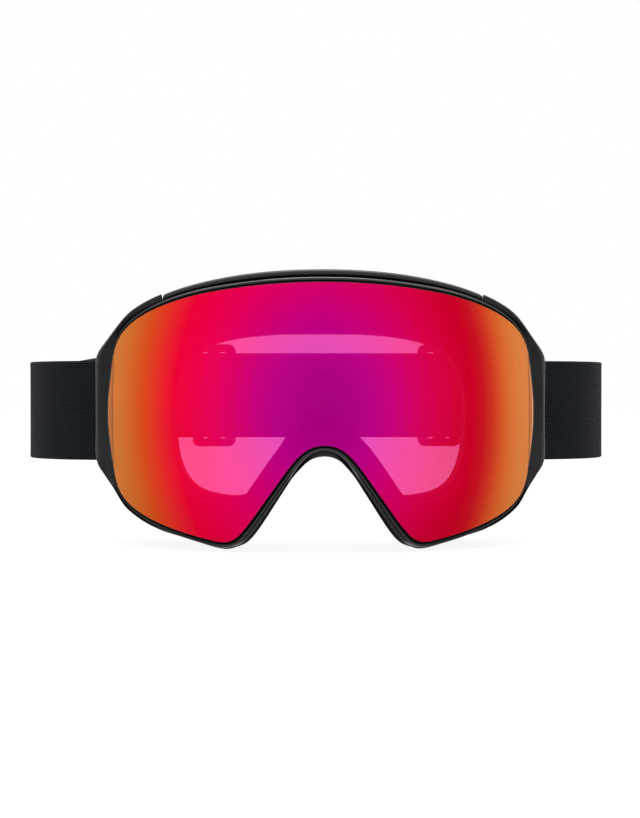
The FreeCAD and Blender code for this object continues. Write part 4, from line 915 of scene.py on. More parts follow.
# a near-black ring just outside the lens edge: a painted shadow line between the lens and the carrier
seam = ring_object(
    "lens_edge_seam_shadow",
    rounded(
        [
            bend(outset(us_, 0.06), 0.6), bend(outset(us_, 0.54), 0.6),
            bend(outset(us_, 0.54), LENS_T + 0.05), bend(outset(us_, 0.06), LENS_T + 0.05),
        ],
        [0.1, 0.1, 0.08, 0.08], 2,
    ),
)
smooth(seam, 60)
place(seam, "lens_assembly", "gasket_foam", (), ["seam_shadow_black"])
ub_ = stations((60, 60, 56))
bead_c = SPACER_IN.at(ub_) + (SPACER_IN.at(ub_) - SPACER_OUT.at(ub_)) * 0.06
ring_pts = []
for k_ in range(8):
    an = 2 * math.pi * k_ / 8
    d_ = (SPACER_IN.at(ub_) - SPACER_OUT.at(ub_))
    d_ /= np.linalg.norm(d_, axis=1)[:, None]
    ring_pts.append(bend(bead_c + 0.38 * math.cos(an) * d_, INNER_DEPTH - 0.34 + 0.28 * math.sin(an)))
seal = ring_object("lens_seal_bead", ring_pts)
smooth(seal, 80)
place(seal, "lens_assembly", "gasket_foam", (), ["seam_shadow_black"])
# magnet pockets in its back face, round the magnets of the frame
pockets = []
for node in ("lens_magnets",):
    bm = bmesh.new()
    bm.from_mesh(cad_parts[node].data)
    islands, seen = [], set()
    bm.verts.ensure_lookup_table()
    bmesh.ops.remove_doubles(bm, verts=bm.verts, dist=1e-6)
    bm.verts.ensure_lookup_table()
    for v in bm.verts:
        if v.index in seen:
            continue
        stack, part = [v], []
        seen.add(v.index)
        while stack:
            w = stack.pop()
            part.append(w.co.copy())
            for e in w.link_edges:
                o = e.other_vert(w)
                if o.index not in seen:
                    seen.add(o.index)
                    stack.append(o)
        islands.append(part)
    bm.free()
    for k, part in enumerate(islands):
        c = sum(part, Vector()) / len(part)
        pm = bpy.data.meshes.new("pocket_%d" % k)
        b2 = bmesh.new()
        for q in part:
            d = q - c
            b2.verts.new(c + d * 1.03 + Vector((0, 0, 0)))
        bmesh.ops.convex_hull(b2, input=b2.verts)
        # extended backwards so that it opens through the back
        n_back = Vector((-c.x, 0.105 - OY * M - c.y, 0)).normalized()
        for w in b2.verts:
            if (w.co - c).dot(n_back) > 0:
                w.co += n_back * 0.0006
        bmesh.ops.recalc_face_normals(b2, faces=b2.faces)
        b2.to_mesh(pm)
        b2.free()
        po = bpy.data.objects.new("pocket_%d" % k, pm)
        scene.collection.objects.link(po)
        pockets.append(po)
boolean(carrier, pockets, "DIFFERENCE")
smooth(carrier, 34)
place(carrier, "lens_assembly", "carrier_plastic", ["lens_carrier"])

# ---------------------------------------------------------------- frame shell
def find_u(fn, lo, hi, target, axis=0):
    """u at which a point function reaches a coordinate"""
    g = np.linspace(lo, hi, 400)
    v = fn(g)[:, axis]
    if v[-1] < v[0]:
        return float(np.interp(-target, -v, g))
    return float(np.interp(target, v, g))


def wall_mid_point(g):
    a = bend(outset(g, 2.2), BACK + 0.8)
    f = FACE_OUT.at(g)
    b = np.column_stack([f[:, 0], face_depth(f[:, 0], f[:, 1]), f[:, 1]])
    return (a + b) / 2


top_edges = []
for x in (0.0, 17.0, 33.5, 49.0):
    for e in (x - 6.0, x + 6.0):
        if e > 0:
            top_edges.append(find_u(wall_mid_point, 0.0, 0.95, e))
low_edges = [1.36, 1.50, 1.545, 1.685]
EPS = 1e-4
u = stations((64, 72, 60), top_edges + low_edges)
z_l = LENS.at(u)[:, 1]
x_l = np.abs(bend(LENS.at(u), 0)[:, 0])
low = sstep((-12.0 - z_l) / 10.0) * sstep((62.0 - x_l) / 12.0)
lip_depth = 0.9 + (SEAT - 0.5 - 0.9) * low
rim = RIM.at(u)
w = sstep((np.abs(rim[:, 0]) - 81.0) / 6.0)
fo, fn_ = FACE_OUT.at(u), FACE_OUT.normal(u)
lip_in = bend(outset(u, 2.09), lip_depth)
gap = np.hypot(rim[:, 0] - lip_in[:, 0], rim[:, 1] - lip_in[:, 2])
rim_front = np.column_stack([rim[:, 0], lip_in[:, 1] + 0.5 + 0.42 * gap, rim[:, 1]])
lip_mid = lip_in + (rim_front - lip_in) * np.array([0.72, 0.30, 0.72])
rear_y = np.maximum(bend(LENS.at(u), BACK - 0.6)[:, 1], rim_front[:, 1] + 1.5) * (1 - w) + 56.2 * w
rim_back = np.column_stack([rim[:, 0], rear_y, rim[:, 1]])
wall_front = bend(outset(u, 2.2), BACK + 0.8)
hinge_wall = np.column_stack([np.full(len(u), 78.4), np.full(len(u), 57.0), rim[:, 1] * 0.96])
wall_front = wall_front * (1 - w)[:, None] + hinge_wall * w[:, None]
wall_front[:, 1] = np.maximum(wall_front[:, 1], rear_y + 0.5)
fd = face_depth(fo[:, 0], fo[:, 1])
wall_rear = np.column_stack([fo[:, 0], fd - 0.05, fo[:, 1]])
wall_mid = (wall_front + wall_rear) / 2
wall_mid = wall_mid + np.column_stack([0.5 * fn_[:, 0], np.full(len(u), -0.8), 0.5 * fn_[:, 1]])
q = fo - WALL * fn_
inner_rear = np.column_stack([q[:, 0], face_depth(q[:, 0], q[:, 1]) - 0.05, q[:, 1]])
e0 = bend(outset(u, 2.2 - WALL * 1.1), BACK + 0.8)
hinge_in = np.column_stack([np.full(len(u), 76.0), np.full(len(u), 56.0), rim[:, 1] * 0.96])
inner_front = e0 * (1 - w)[:, None] + hinge_in * w[:, None]
inner_front[:, 1] = np.where(w > 0.5, np.maximum(inner_front[:, 1], wall_front[:, 1] - 1.2), inner_front[:, 1] + 0.2)
seat_rear = bend(CARRIER_IN.at(u), BACK)
seat_inner = bend(CARRIER_IN.at(u), SEAT)
seat_outer = bend(outset(u, 2.3), SEAT)

def part_way(a, b, f):
    return a + (b - a) * f


o1, o2 = part_way(wall_front, wall_mid, 0.30), part_way(wall_mid, wall_rear, 0.66)
i1, i2 = part_way(inner_front, inner_rear, 0.16), part_way(inner_front, inner_rear, 0.82)
named = [
    ("lip_in", lip_in, 0.14), ("lip_mid", lip_mid, 0.9), ("rim_front", rim_front, 0.7),
    ("rim_back", rim_back, 0.7), ("wall_front", wall_front, 0.8), ("o1", o1, 0), ("wall_mid", wall_mid, 0),
    ("o2", o2, 0), ("wall_rear", wall_rear, 0.35), ("inner_rear", inner_rear, 0.3), ("i2", i2, 0), ("i1", i1, 0),
    ("inner_front", inner_front, 0.4), ("seat_rear", seat_rear, 0.3), ("seat_inner", seat_inner, 0.3),
    ("seat_outer", seat_outer, 0.12),
]
SEG = 3
corners = rounded([c for _, c, _ in named], [r for _, _, r in named], SEG)
at, pos = {}, 0
for name, _, r in named:
    at[name] = pos
    pos += 1 if r == 0 else SEG + 1
K = pos
S = 2 * (len(u) - 1)
full_u = np.concatenate([u, u[::-1][1:-1]])
sign = np.concatenate([np.ones(len(u)), -np.ones(len(u) - 2)])


def spans(lo_u, hi_u, side):
    """station indices of one window, in ring order"""
    picks = [i for i in range(S) if sign[i] == side and lo_u - 1e-6 <= full_u[i] <= hi_u + 1e-6]
    return sorted(picks)


te = sorted(top_edges)
windows = []
centre = spans(0.0, te[0], 1)
left_part = spans(1e-9, te[0], -1)
windows.append(left_part + centre)
for a, b in ((te[1], te[2]), (te[3], te[4]), (te[5], te[6])):
    for side in (1, -1):
        windows.append(spans(a, b, side))
for a, b in ((low_edges[0], low_edges[1]), (low_edges[2], low_edges[3])):
    for side in (1, -1):
        windows.append(spans(a, b, side))
skip = np.zeros((S, K), bool)
extra = []
for win in windows:
    for i in win[:-1]:
        for j in (at["o1"], at["wall_mid"], at["i2"]):
            skip[i, j] = True
        i2_ = (i + 1) % S
        for a, b in ((at["o1"], at["i1"]), (at["o2"], at["i2"])):
            extra.append((i * K + a, i2_ * K + a, i2_ * K + b, i * K + b))
    for i in (win[0], win[-1]):
        extra.append(tuple(i * K + at[n] for n in ("o1", "wall_mid", "o2", "i2", "i1")))
shell = ring_object("frame_shell_moulded", corners, extra, skip)
mod = shell.modifiers.new("vent_edges", "BEVEL")
mod.limit_method = "ANGLE"
mod.angle_limit = math.radians(58)
mod.width = 0.00035
mod.segments = 2
mod.use_clamp_overlap = True
apply_modifiers(shell)

def run_to(f, depth, limit, n=64):
    """points along the top from the middle to exactly x = limit"""
    g_ = np.linspace(0.0, 0.99, 1200)
    p_ = between(g_, f, depth)
    x = np.concatenate([np.linspace(0, limit - 0.9, n - 3), [limit - 0.5, limit - 0.15, limit]])
    return np.column_stack([x, np.interp(x, p_[:, 0], p_[:, 1]), np.interp(x, p_[:, 0], p_[:, 2])])


LUG = [(76.9, 55.6), (84.8, 55.6), (86.1, 59.2), (86.4, 61.5), (85.4, 64.0), (83.0, 65.0), (76.9, 66.6)]
unions, cuts = [], []
for sx in (1, -1):
    for up in (1, -1):
        z0 = ZC + (15.3 if up > 0 else -19.7)
        pts = [(sx * x, y) for x, y in LUG]
        if sx < 0:
            pts.reverse()
        unions.append(prism("lug", pts, z0, z0 + 4.4, 0.55, 3))
    unions.append(rounded_block("boss", (15.0, 7.6, 5.2), (sx * 53.0, 36.0, -48.6 + 2.75), sx * 31.0, 0.6, 3))
    cuts.append(rounded_block("slot", (12.1, 4.7, 3.05), (sx * 53.0, 36.0, -48.6 + 0.525), sx * 31.0, 0.0))
boolean(shell, unions, "UNION")
for sx in (1, -1):
    for up in (1, -1):
        bm = bmesh.new()
        bmesh.ops.create_cone(bm, cap_ends=True, segments=32, radius1=1.02 * M, radius2=1.02 * M, depth=10 * M)
        me = bpy.data.meshes.new("hole")
        for v in bm.verts:
            v.co += Vector((sx * PX * M, (PY - OY) * M, (ZC + up * 17.5 - OZ) * M))
        bm.to_mesh(me)
        bm.free()
        ho = bpy.data.objects.new("hole", me)
        scene.collection.objects.link(ho)
        cuts.append(ho)
side_run = [
    run_to(f, d, BROW_X + past)
    for f, d, past in ((0.435, -4.0, 0.3), (1.7, -4.0, 1.7), (1.7, 8.1, 1.7), (0.435, 8.1, 0.3))
]
pocket_grid = np.stack([np.vstack([c[::-1][:-1] * np.array([-1, 1, 1]), c]) for c in side_run], axis=1)
cuts.append(strip_object("trim_pocket", pocket_grid))
boolean(shell, cuts, "DIFFERENCE")
tidy(shell, 1e-6)
smooth(shell, 36)
place(shell, "frame", "frame_plastic", ["frame_shell"])

# ---------------------------------------------------------------- brow trim
right = rounded(
    [
        run_to(f, d, BROW_X + past)
        for f, d, past in (
            (0.52, 1.6, 0.42), (0.60, 0.95, 0.5), (0.86, 0.95, 0.3), (0.99, 1.9, -0.45), (1.0, 7.95, -0.45), (0.52, 7.95, 0.42),
        )
    ],
    [0.3, 0.35, 0.5, 0.5, 0.3, 0.2], 3,
)
g = np.stack([np.vstack([c[::-1][:-1] * np.array([-1, 1, 1]), c]) for c in right], axis=1)
# rounded ends: the last rows draw in towards the middle of the section
for row, f in ((0, 0.95), (1, 0.99), (-1, 0.95), (-2, 0.99)):
    c = g[row].mean(0)
    g[row] = c + (g[row] - c) * f
trim = strip_object("brow_trim_strip", g)
smooth(trim, 40)
place(trim, "frame", "trim_plastic", ["brow_trim"])

# ---------------------------------------------------------------- vent foams
def vent_piece(name, node, lo_u, hi_u, n, side):
    uu = np.linspace(lo_u, hi_u, n)
    def frame_point(f, inward):
        f_o, f_n = FACE_OUT.at(uu), FACE_OUT.normal(uu)
        rq = RIM.at(uu)
        ww = sstep((np.abs(rq[:, 0]) - 81.0) / 6.0)[:, None]
        a = bend(outset(uu, 2.2 - WALL * 1.1), BACK + 0.8) * (1 - ww) + np.column_stack([np.full(n, 76.0), np.full(n, 56.0), rq[:, 1] * 0.96]) * ww
        qq = f_o - WALL * f_n
        b = np.column_stack([qq[:, 0], face_depth(qq[:, 0], qq[:, 1]) - 0.05, qq[:, 1]])
        p = a + (b - a) * f
        return p - np.column_stack([f_n[:, 0] * inward, np.zeros(n), f_n[:, 1] * inward])
    cs = rounded([frame_point(0.14, 0.45), frame_point(0.86, 0.45), frame_point(0.84, 2.6), frame_point(0.5, 2.75), frame_point(0.16, 2.6)], [0.3, 0.3, 0.8, 1.0, 0.8], 3)
    gg = np.stack(cs, axis=1)
    if side == 0:
        gg = np.concatenate([gg[::-1][:-1] * np.array([-1, 1, 1]), gg])
    elif side < 0:
        gg = gg[::-1] * np.array([-1, 1, 1])
    for rr, f in ((0, 0.8), (-1, 0.8)):
        c = gg[rr].mean(0)
        gg[rr] = c + (gg[rr] - c) * f
    ob = strip_object(name, gg)
    smooth(ob, 60)
    place(ob, "frame", "vent_mesh", [node])
    return ob


vl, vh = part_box("vent_foam_top")
top_u = find_u(lambda g: FACE_OUT.at(g), 0.0, 0.95, vh.x * 1000)
vent_piece("vent_foam_top_strip", "vent_foam_top", 0.0, top_u, 60, 0)
vent_piece("vent_foam_left_strip", "vent_foam_left", 1.30, 1.74, 30, 1)
vent_piece("vent_foam_right_strip", "vent_foam_right", 1.30, 1.74, 30, -1)

# ---------------------------------------------------------------- face plate and face foam
u = stations((60, 62, 56))
f_out, f_n, ap = FACE_OUT.at(u), FACE_OUT.normal(u), APERTURE.at(u)
f_in = f_out + (ap - f_out) * 0.78


def pad_point(p, y):
    return np.column_stack([p[:, 0], face_depth(p[:, 0], p[:, 1]) + y * (1.0 + 0.35 * (p[:, 0] / 78.0) ** 2), p[:, 1]])


Y1 = PLATE_T
Y2 = Y1 + 0.05 + DENSE_T
Y3 = Y2 + 0.05 + SOFT_T
Y4 = Y3 + 0.05 + FLEECE_T
plate = ring_object(
    "face_plate_moulded",
    rounded([pad_point(f_out, 0.0), pad_point(f_out, Y1), pad_point(f_in, Y1), pad_point(f_in, 0.0)], [0.3, 0.3, 0.5, 0.5], 3),
)
smooth(plate, 45)
place(plate, "frame", "frame_plastic", ["face_plate"])

dense = ring_object(
    "face_foam_dense_layer",
    rounded(
        [pad_point(f_out - 0.4 * f_n, Y1 + 0.05), pad_point(f_out - 0.15 * f_n, (Y1 + Y2) / 2), pad_point(f_out - 0.45 * f_n, Y2),
         pad_point(f_in + 0.0 * f_n, Y2), pad_point(f_in + 0.0 * f_n, Y1 + 0.05)],
        [0.25, 0.9, 0.25, 0.5, 0.4], 3,
    ),
)
smooth(dense, 60)
place(dense, "frame", "foam_dense", ["face_foam_dense"])


def soft_layer():
    """the soft foam: its section is a fine grid, puffed by cloth pressure from a slightly small start"""
    so_, si_ = f_out - 0.95 * f_n, f_out + (ap - f_out) * 0.985
    rows = []
    n_side, n_top = 6, 9
    y0, y1 = Y2 + 0.07, Y3 - 0.75
    for j in range(n_side):
        rows.append(pad_point(so_, y0 + (y1 - y0) * j / (n_side - 1)))
    for j in range(1, n_top):
        t = j / n_top
        rows.append(pad_point(so_ + (si_ - so_) * t, y1 + 0.35 * math.sin(math.pi * t)))
    for j in range(n_side):
        rows.append(pad_point(si_, y1 + (y0 - y1) * j / (n_side - 1)))
    inner_low = f_out + (ap - f_out) * 0.80
    for j in range(1, 5):
        t = j / 5
        rows.append(pad_point(si_ + (so_ - si_) * t, y0))
    g_ = ring_grid(rows)
    s, k = g_.shape[:2]
    ob = new_object("face_foam_soft_layer", to_row(g_), ring_faces(s, k))
    bm = bmesh.new()
    bm.from_mesh(ob.data)
    bmesh.ops.recalc_face_normals(bm, faces=bm.faces)
    bm.to_mesh(ob.data)
    bm.free()
    group = ob.vertex_groups.new(name="glued")
    base = [i * k + j for i in range(s) for j in ([0, k - 1, k - 2, k - 3, k - 4, n_side + n_top - 2 + n_side])]
    group.add(base, 1.0, "REPLACE")
    start = np.array([v.co for v in ob.data.vertices])
    cloth = ob.modifiers.new("puff", "CLOTH")
    cs = cloth.settings
    cs.quality = 6
    cs.mass = 0.3
    cs.use_pressure = True
    cs.uniform_pressure_force = 4.0
    cs.tension_stiffness = 12
    cs.compression_stiffness = 12
    cs.bending_stiffness = 1.2
    cs.vertex_group_mass = "glued"
    cs.effector_weights.gravity = 0.0
    cloth.collision_settings.use_collision = False
    for f in range(1, 21):
        scene.frame_set(f)
    apply_modifiers(ob)
    end = np.array([v.co for v in ob.data.vertices])
    move = end - start
    size = np.linalg.norm(move, axis=1)
    cap = 0.0008
    move *= (np.minimum(size, cap) / np.maximum(size, 1e-9))[:, None]
    # even out the capped movement along the ring
    mv = move.reshape(s, k, 3)
    for _ in range(3):
        mv = (np.roll(mv, 1, 0) + 2 * mv + np.roll(mv, -1, 0)) / 4
    ob.data.vertices.foreach_set("co", (start + mv.reshape(-1, 3)).ravel())
    ob.data.update()
    scene.frame_set(1)
    return ob, s, k, n_side, n_top


soft, S_, K_, n_side, n_top = soft_layer()
soft_co = np.array([v.co for v in soft.data.vertices]).reshape(S_, K_, 3)
top_rows = soft_co[:, n_side - 1 : n_side + n_top, :]  # outer top corner to inner top corner
along_ring = np.roll(top_rows, -1, 0) - np.roll(top_rows, 1, 0)
across = np.gradient(top_rows, axis=1)
nrm = np.cross(along_ring, across)
nrm /= np.linalg.norm(nrm, axis=2)[:, :, None]
if nrm[:, :, 1].mean() < 0:
    nrm = -nrm
low_side = top_rows + nrm * 0.00006
kt = top_rows.shape[1]
rows = [low_side[:, j] for j in range(kt)]
edge_in = low_side[:, -1] + nrm[:, -1] * 0.0004 + (low_side[:, -1] - low_side[:, -2]) / np.linalg.norm(low_side[:, -1] - low_side[:, -2], axis=1)[:, None] * 0.00015
edge_out = low_side[:, 0] + nrm[:, 0] * 0.0004 + (low_side[:, 0] - low_side[:, 1]) / np.linalg.norm(low_side[:, 0] - low_side[:, 1], axis=1)[:, None] * 0.00015
rows.append(edge_in)
for j in range(kt - 1, -1, -1):
    t = j / (kt - 1)
    thick = FLEECE_T * M * (0.62 + 0.38 * sstep(min(t, 1 - t) / 0.12))
    rows.append(low_side[:, j] + nrm[:, j] * float(thick))
rows.append(edge_out)
fg = np.stack(rows, axis=1)
fleece = new_object("face_fleece_layer", fg.reshape(-1, 3), ring_faces(fg.shape[0], fg.shape[1]))
tidy(fleece, 1e-7)
sub = fleece.modifiers.new("sub", "SUBSURF")
sub.levels = sub.render_levels = 1
apply_modifiers(fleece)
fleece.data.polygons.foreach_set("use_smooth", [True] * len(fleece.data.polygons))
place(fleece, "frame", "fleece", ["face_fleece"])
sub = soft.modifiers.new("sub", "SUBSURF")
sub.levels = sub.render_levels = 1
apply_modifiers(soft)
soft.data.polygons.foreach_set("use_smooth", [True] * len(soft.data.polygons))
place(soft, "frame", "foam_soft", ["face_foam_soft"])

# ---------------------------------------------------------------- strap
def strap_path():
    t = np.linspace(0, math.pi / 2, 500)
    a = np.column_stack([BX + SIDE * np.sin(t), BY + MID - MID * np.cos(t)])
    wide = BX + SIDE
    t = np.linspace(0, math.pi / 2, 700)[1:]
    b = np.column_stack([FLAT + (wide - FLAT) * np.cos(t), BY + MID + REAR * np.sin(t)])
    x = np.linspace(FLAT, 0, 120)[1:]
    c = np.column_stack([x, np.full(len(x), BY + MID + REAR)])
    return np.vstack([a, b, c])


PATH = strap_path()
PL = np.concatenate([[0], np.cumsum(np.linalg.norm(np.diff(PATH, axis=0), axis=1))])
TOTAL = PL[-1]
REAR_Y = BY + MID + REAR


def path_at(s):
    s = np.asarray(s, float)
    q = np.column_stack([np.interp(s, PL, PATH[:, j]) for j in (0, 1)])
    a = np.column_stack([np.interp(np.maximum(s - 0.6, 0), PL, PATH[:, j]) for j in (0, 1)])
    b = np.column_stack([np.interp(np.minimum(s + 0.6, TOTAL), PL, PATH[:, j]) for j in (0, 1)])
    t = b - a
    t /= np.linalg.norm(t, axis=1)[:, None]
    n = np.column_stack([t[:, 1], -t[:, 0]])
    z = ZC + RISE * sstep((s - 95.0) / 70.0)
    return q, t, n, z


def offset_points(s, off):
    q, t, n, z = path_at(s)
    off = np.broadcast_to(np.asarray(off, float), np.shape(s))
    return np.column_stack([q + off[:, None] * n, z])


def ribbon(name, centre_line, half, thick, u0=0.0, ribs=True, taper=False):
    """webbing along a plan line of points (x, y, z): ribbed faces, rolled selvedges"""
    c = np.asarray(centre_line, float)
    d = np.gradient(c[:, :2], axis=0)
    d /= np.linalg.norm(d, axis=1)[:, None]
    n = np.column_stack([d[:, 1], -d[:, 0]])
    length = u0 + np.concatenate([[0], np.cumsum(np.linalg.norm(np.diff(c[:, :2], axis=0), axis=1))])
    pitch = 0.85
    zs = np.arange(-half + 0.55, half - 0.55 + 1e-6, pitch / 4.0) if ribs else np.linspace(-half + 0.55, half - 0.55, 12)
    zs = zs * (half - 0.55) / max(abs(zs[0]), abs(zs[-1]))
    h = thick / 2
    profile = []
    for z in zs:
        bulge = 0.05 * math.sin(2 * math.pi * z / pitch) if ribs else 0.0
        lip = 0.06 if abs(z) > half - 2.2 else 0.0
        profile.append((h - 0.08 + bulge + lip, z))
    for a in (60, 20, -20, -60):
        profile.append((h * 0.92 * math.sin(math.radians(a)), half - 0.5 + 0.5 * math.cos(math.radians(a))))
    for z in zs[::-1]:
        bulge = 0.05 * math.sin(2 * math.pi * z / pitch) if ribs else 0.0
        lip = 0.06 if abs(z) > half - 2.2 else 0.0
        profile.append((-(h - 0.08 + bulge + lip), z))
    for a in (-60, -20, 20, 60):
        profile.append((h * 0.92 * math.sin(math.radians(a)), -(half - 0.5 + 0.5 * math.cos(math.radians(a)))))
    prof = np.array(profile)
    g_ = np.zeros((len(c), len(prof), 3))
    g_[:, :, 0] = c[:, None, 0] + n[:, None, 0] * prof[None, :, 0]
    g_[:, :, 1] = c[:, None, 1] + n[:, None, 1] * prof[None, :, 0]
    g_[:, :, 2] = c[:, None, 2] + prof[None, :, 1]
    uv = np.zeros((len(c), len(prof), 2))
    uv[:, :, 0] = length[:, None] / 100.0
    uv[:, :, 1] = prof[None, :, 1] / 100.0
    ob = strip_object(name, g_, uv)
    ob.data.polygons.foreach_set("use_smooth", [True] * len(ob.data.polygons))
    ob.data.set_sharp_from_angle(angle=math.radians(70))
    paint(ob, "webbing")
    return ob, length[-1]


def row_point(x, y, z):
    return (x * M, (y - OY) * M, (z - OZ) * M)


LAYER = (WT + WG) / 2
FRONT_S = 30.0
WR = 1.5 + 0.1 + WT / 2 + 0.02  # webbing round the bar
half_h = SH / 2


def spread(s):
    return LAYER + (WR - LAYER) * (1 - sstep(s / 9.0))


s_mid_l = None
for side, sx in (("left", 1), ("right", -1)):
    s_in = np.arange(FRONT_S, 0.0, -0.8)
    inner_pts = offset_points(s_in, -spread(s_in))
    s_out = s_in[::-1]
    outer_pts = offset_points(s_out, spread(s_out))
    arc = []
    # round the bar on its frame side: from the inner layer to the outer one
    for t in np.linspace(90, 270, 19):
        a = math.radians(t)
        arc.append((BX + WR * math.cos(a), BY + WR * math.sin(a), ZC))
    arc = np.array(arc)
    line = np.vstack([inner_pts[:-1], arc[1:-1] if True else arc, outer_pts[1:]])
    line[:, 0] *= sx
    ob, _ = ribbon("strap_front_" + side, line, half_h, WT - 0.06, u0=0.0)
    row_point(*[sx * 0 + v for v in (sx * offset_points(np.array([FRONT_S]), 0.0)[0][0], offset_points(np.array([FRONT_S]), 0.0)[0][1], 0)])
    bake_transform(ob)
    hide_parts("strap_eye_" + side)

# outer layer, all the way round the back
s_all = np.arange(FRONT_S, TOTAL, 1.6)
half_line = offset_points(s_all, LAYER)
left_line = half_line
right_line = half_line[::-1] * np.array([-1, 1, 1])
joinx = np.linspace(left_line[-1, 0], -left_line[-1, 0], 4)[1:-1]
join = np.column_stack([joinx, np.full(2, left_line[-1, 1]), np.full(2, left_line[-1, 2])])
loop, loop_len = ribbon("strap_outer_loop", np.vstack([left_line, join, right_line]), half_h, WT - 0.06, u0=60.0)
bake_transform(loop)
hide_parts("strap_webbing")

# inner layer up to the adjusters, then round each adjuster's middle bar
T2 = 1.1


def tail_turn(side, sx):
    """where a tail leaves the strap to follow its adjuster: just past the cut, and by the adjuster"""
    c = offset_points(np.array([TOTAL - SLIDER_AT[side] - 39.4]), -LAYER)[0]
    return row_point(sx * c[0], c[1], 0), row_point(sx * (SLIDER_AT[side] + 12.0), REAR_Y - LAYER, 0)


for side, sx in (("left", 1), ("right", -1)):
    SLIDER = SLIDER_AT[side]
    CUT_S = TOTAL - SLIDER - 40.0
    s1 = np.arange(FRONT_S, CUT_S, 1.6)
    s1 = np.append(s1, CUT_S)
    line = offset_points(s1, -LAYER)
    line[:, 0] *= sx
    ob, end_len = ribbon("strap_inner_run_" + side, line, half_h - 0.15, WT - 0.06, u0=60.0)
    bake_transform(ob)
    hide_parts("strap_return_" + side)
    # tail: along the inner layer, round the middle bar, back on the head side and sewn down
    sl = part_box("slider_" + side)
    sly = (sl[0].y + sl[1].y) / 2 / M + OY
    s2 = np.arange(CUT_S, TOTAL - SLIDER - 6.0, 1.2)
    run = offset_points(s2, -LAYER)
    rear_z = ZC + RISE
    y_in = REAR_Y - LAYER
    y_bar = sly - 2.875
    bar_half = (1.65 + T2) / 2 + 0.12
    line_pts = [tuple(p) for p in run]
    x_edge = SLIDER + 3.1
    line_pts.append((x_edge + 2.4, y_in - 0.02, rear_z))
    for t in np.linspace(0, 1, 4):
        line_pts.append((x_edge + 0.6 - 6.6 * t + 0.0, y_bar + bar_half, rear_z))
    cx = SLIDER - 3.1
    for t in np.linspace(80, -80, 9):
        a = math.radians(t)
        line_pts.append((cx - bar_half * 0.85 * math.cos(a), y_bar + bar_half * math.sin(a), rear_z))
    for t in np.linspace(0, 1, 4):
        line_pts.append((cx + 6.4 * t + 0.6, y_bar - bar_half, rear_z))
    for t in np.linspace(0.0, 1.0, 9)[1:]:
        x = SLIDER + 4.0 + 9.0 * t
        target = y_in - WT / 2 - T2 / 2 - 0.1
        y0_ = y_bar - bar_half
        line_pts.append((x, y0_ + (target - y0_) * sstep(t), rear_z))
    for t in np.linspace(0.0, 1.0, 6)[1:]:
        line_pts.append((SLIDER + 13.0 + 8.0 * t, y_in - WT / 2 - T2 / 2 - 0.1, rear_z))
    lp = np.array(line_pts)
    # the strap still turns in plan ahead of the flat run: follow it for the tail's last points
    for i in range(len(lp)):
        if lp[i, 0] > FLAT and i > len(run):
            lp[i, 0] = FLAT
    lp = lp[np.concatenate([[True], np.linalg.norm(np.diff(lp[:, :2], axis=0), axis=1) > 0.05])]
    lp[:, 0] *= sx
    ob, _ = ribbon("strap_tail_" + side, lp, half_h - 0.3, T2, u0=end_len)
    turn_a, turn_b = tail_turn(side, sx)
    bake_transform(ob)

# stitching: two straight rows of thread stitches across each sewn tail
def stitch_line(bm, a, b, n, side_vec, r=0.16, lift=0.05):
    """a run of thread stitches from a to b, each a small rounded bead half sunk in the webbing"""
    a, b = Vector(a), Vector(b)
    d = (b - a) / n
    ln = d.length
    dirn = d.normalized()
    up = Vector(side_vec).normalized()
    for i in range(n):
        c = a + d * (i + 0.5)
        mat = Matrix((dirn * (ln * 0.40), up * r, dirn.cross(up) * r)).transposed().to_4x4()
        mat.translation = c
        bmesh.ops.create_icosphere(bm, subdivisions=2, radius=1.0, matrix=mat)


for side, sx in (("left", 1), ("right", -1)):
    SLIDER = SLIDER_AT[side]
    bm = bmesh.new()
    y = REAR_Y - LAYER - WT / 2 - T2 - 0.14
    x0 = SLIDER + 13.8
    zc = ZC + RISE
    hz = half_h - 3.0
    pts = lambda x, z: row_point(sx * min(x, FLAT), y, zc + z)
    up = (0, -1, 0)
    for x in (x0, x0 + 1.6):
        stitch_line(bm, pts(x, -hz), pts(x, hz), 22, up, 0.16 * M)
    me = bpy.data.meshes.new("tail_stitching_" + side)
    bm.to_mesh(me)
    bm.free()
    ob = bpy.data.objects.new("tail_stitching_" + side, me)
    scene.collection.objects.link(ob)
    me.polygons.foreach_set("use_smooth", [True] * len(me.polygons))
    paint(ob, "thread")
    turn_a, turn_b = tail_turn(side, sx)
    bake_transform(ob)

# silicone grip: wavy rounded beads on the inside of the rear run
bm = bmesh.new()
for dz in (-12.0, -4.0, 4.0, 12.0):
    xs = np.linspace(-33.0, 33.0, 90)
    rows_ = []
    for x in xs:
        z = ZC + RISE + dz + 0.9 * math.sin(x * 2 * math.pi / 11.0)
        fade = min(1.0, (33.0 - abs(x)) / 1.2 + 0.15)
        ring = []
        for a in range(10):
            an = 2 * math.pi * a / 10
            yy = REAR_Y + LAYER - WT / 2 - 0.06 - 0.17 + 0.20 * fade * math.sin(an)
            ring.append(bm.verts.new(row_point(x, yy, z + 0.62 * fade * math.cos(an))))
        rows_.append(ring)
    for a, b in zip(rows_, rows_[1:]):
        for j in range(10):
            bm.faces.new((a[j], a[(j + 1) % 10], b[(j + 1) % 10], b[j]))
    bm.faces.new(rows_[0][::-1])
    bm.faces.new(rows_[-1])
bmesh.ops.recalc_face_normals(bm, faces=bm.faces)
me = bpy.data.meshes.new("silicone_grip_lines")
bm.to_mesh(me)
bm.free()
grip_ob = bpy.data.objects.new("silicone_grip_lines", me)
scene.collection.objects.link(grip_ob)
me.polygons.foreach_set("use_smooth", [True] * len(me.polygons))
place(grip_ob, "strap", "silicone", ["silicone_grip"])

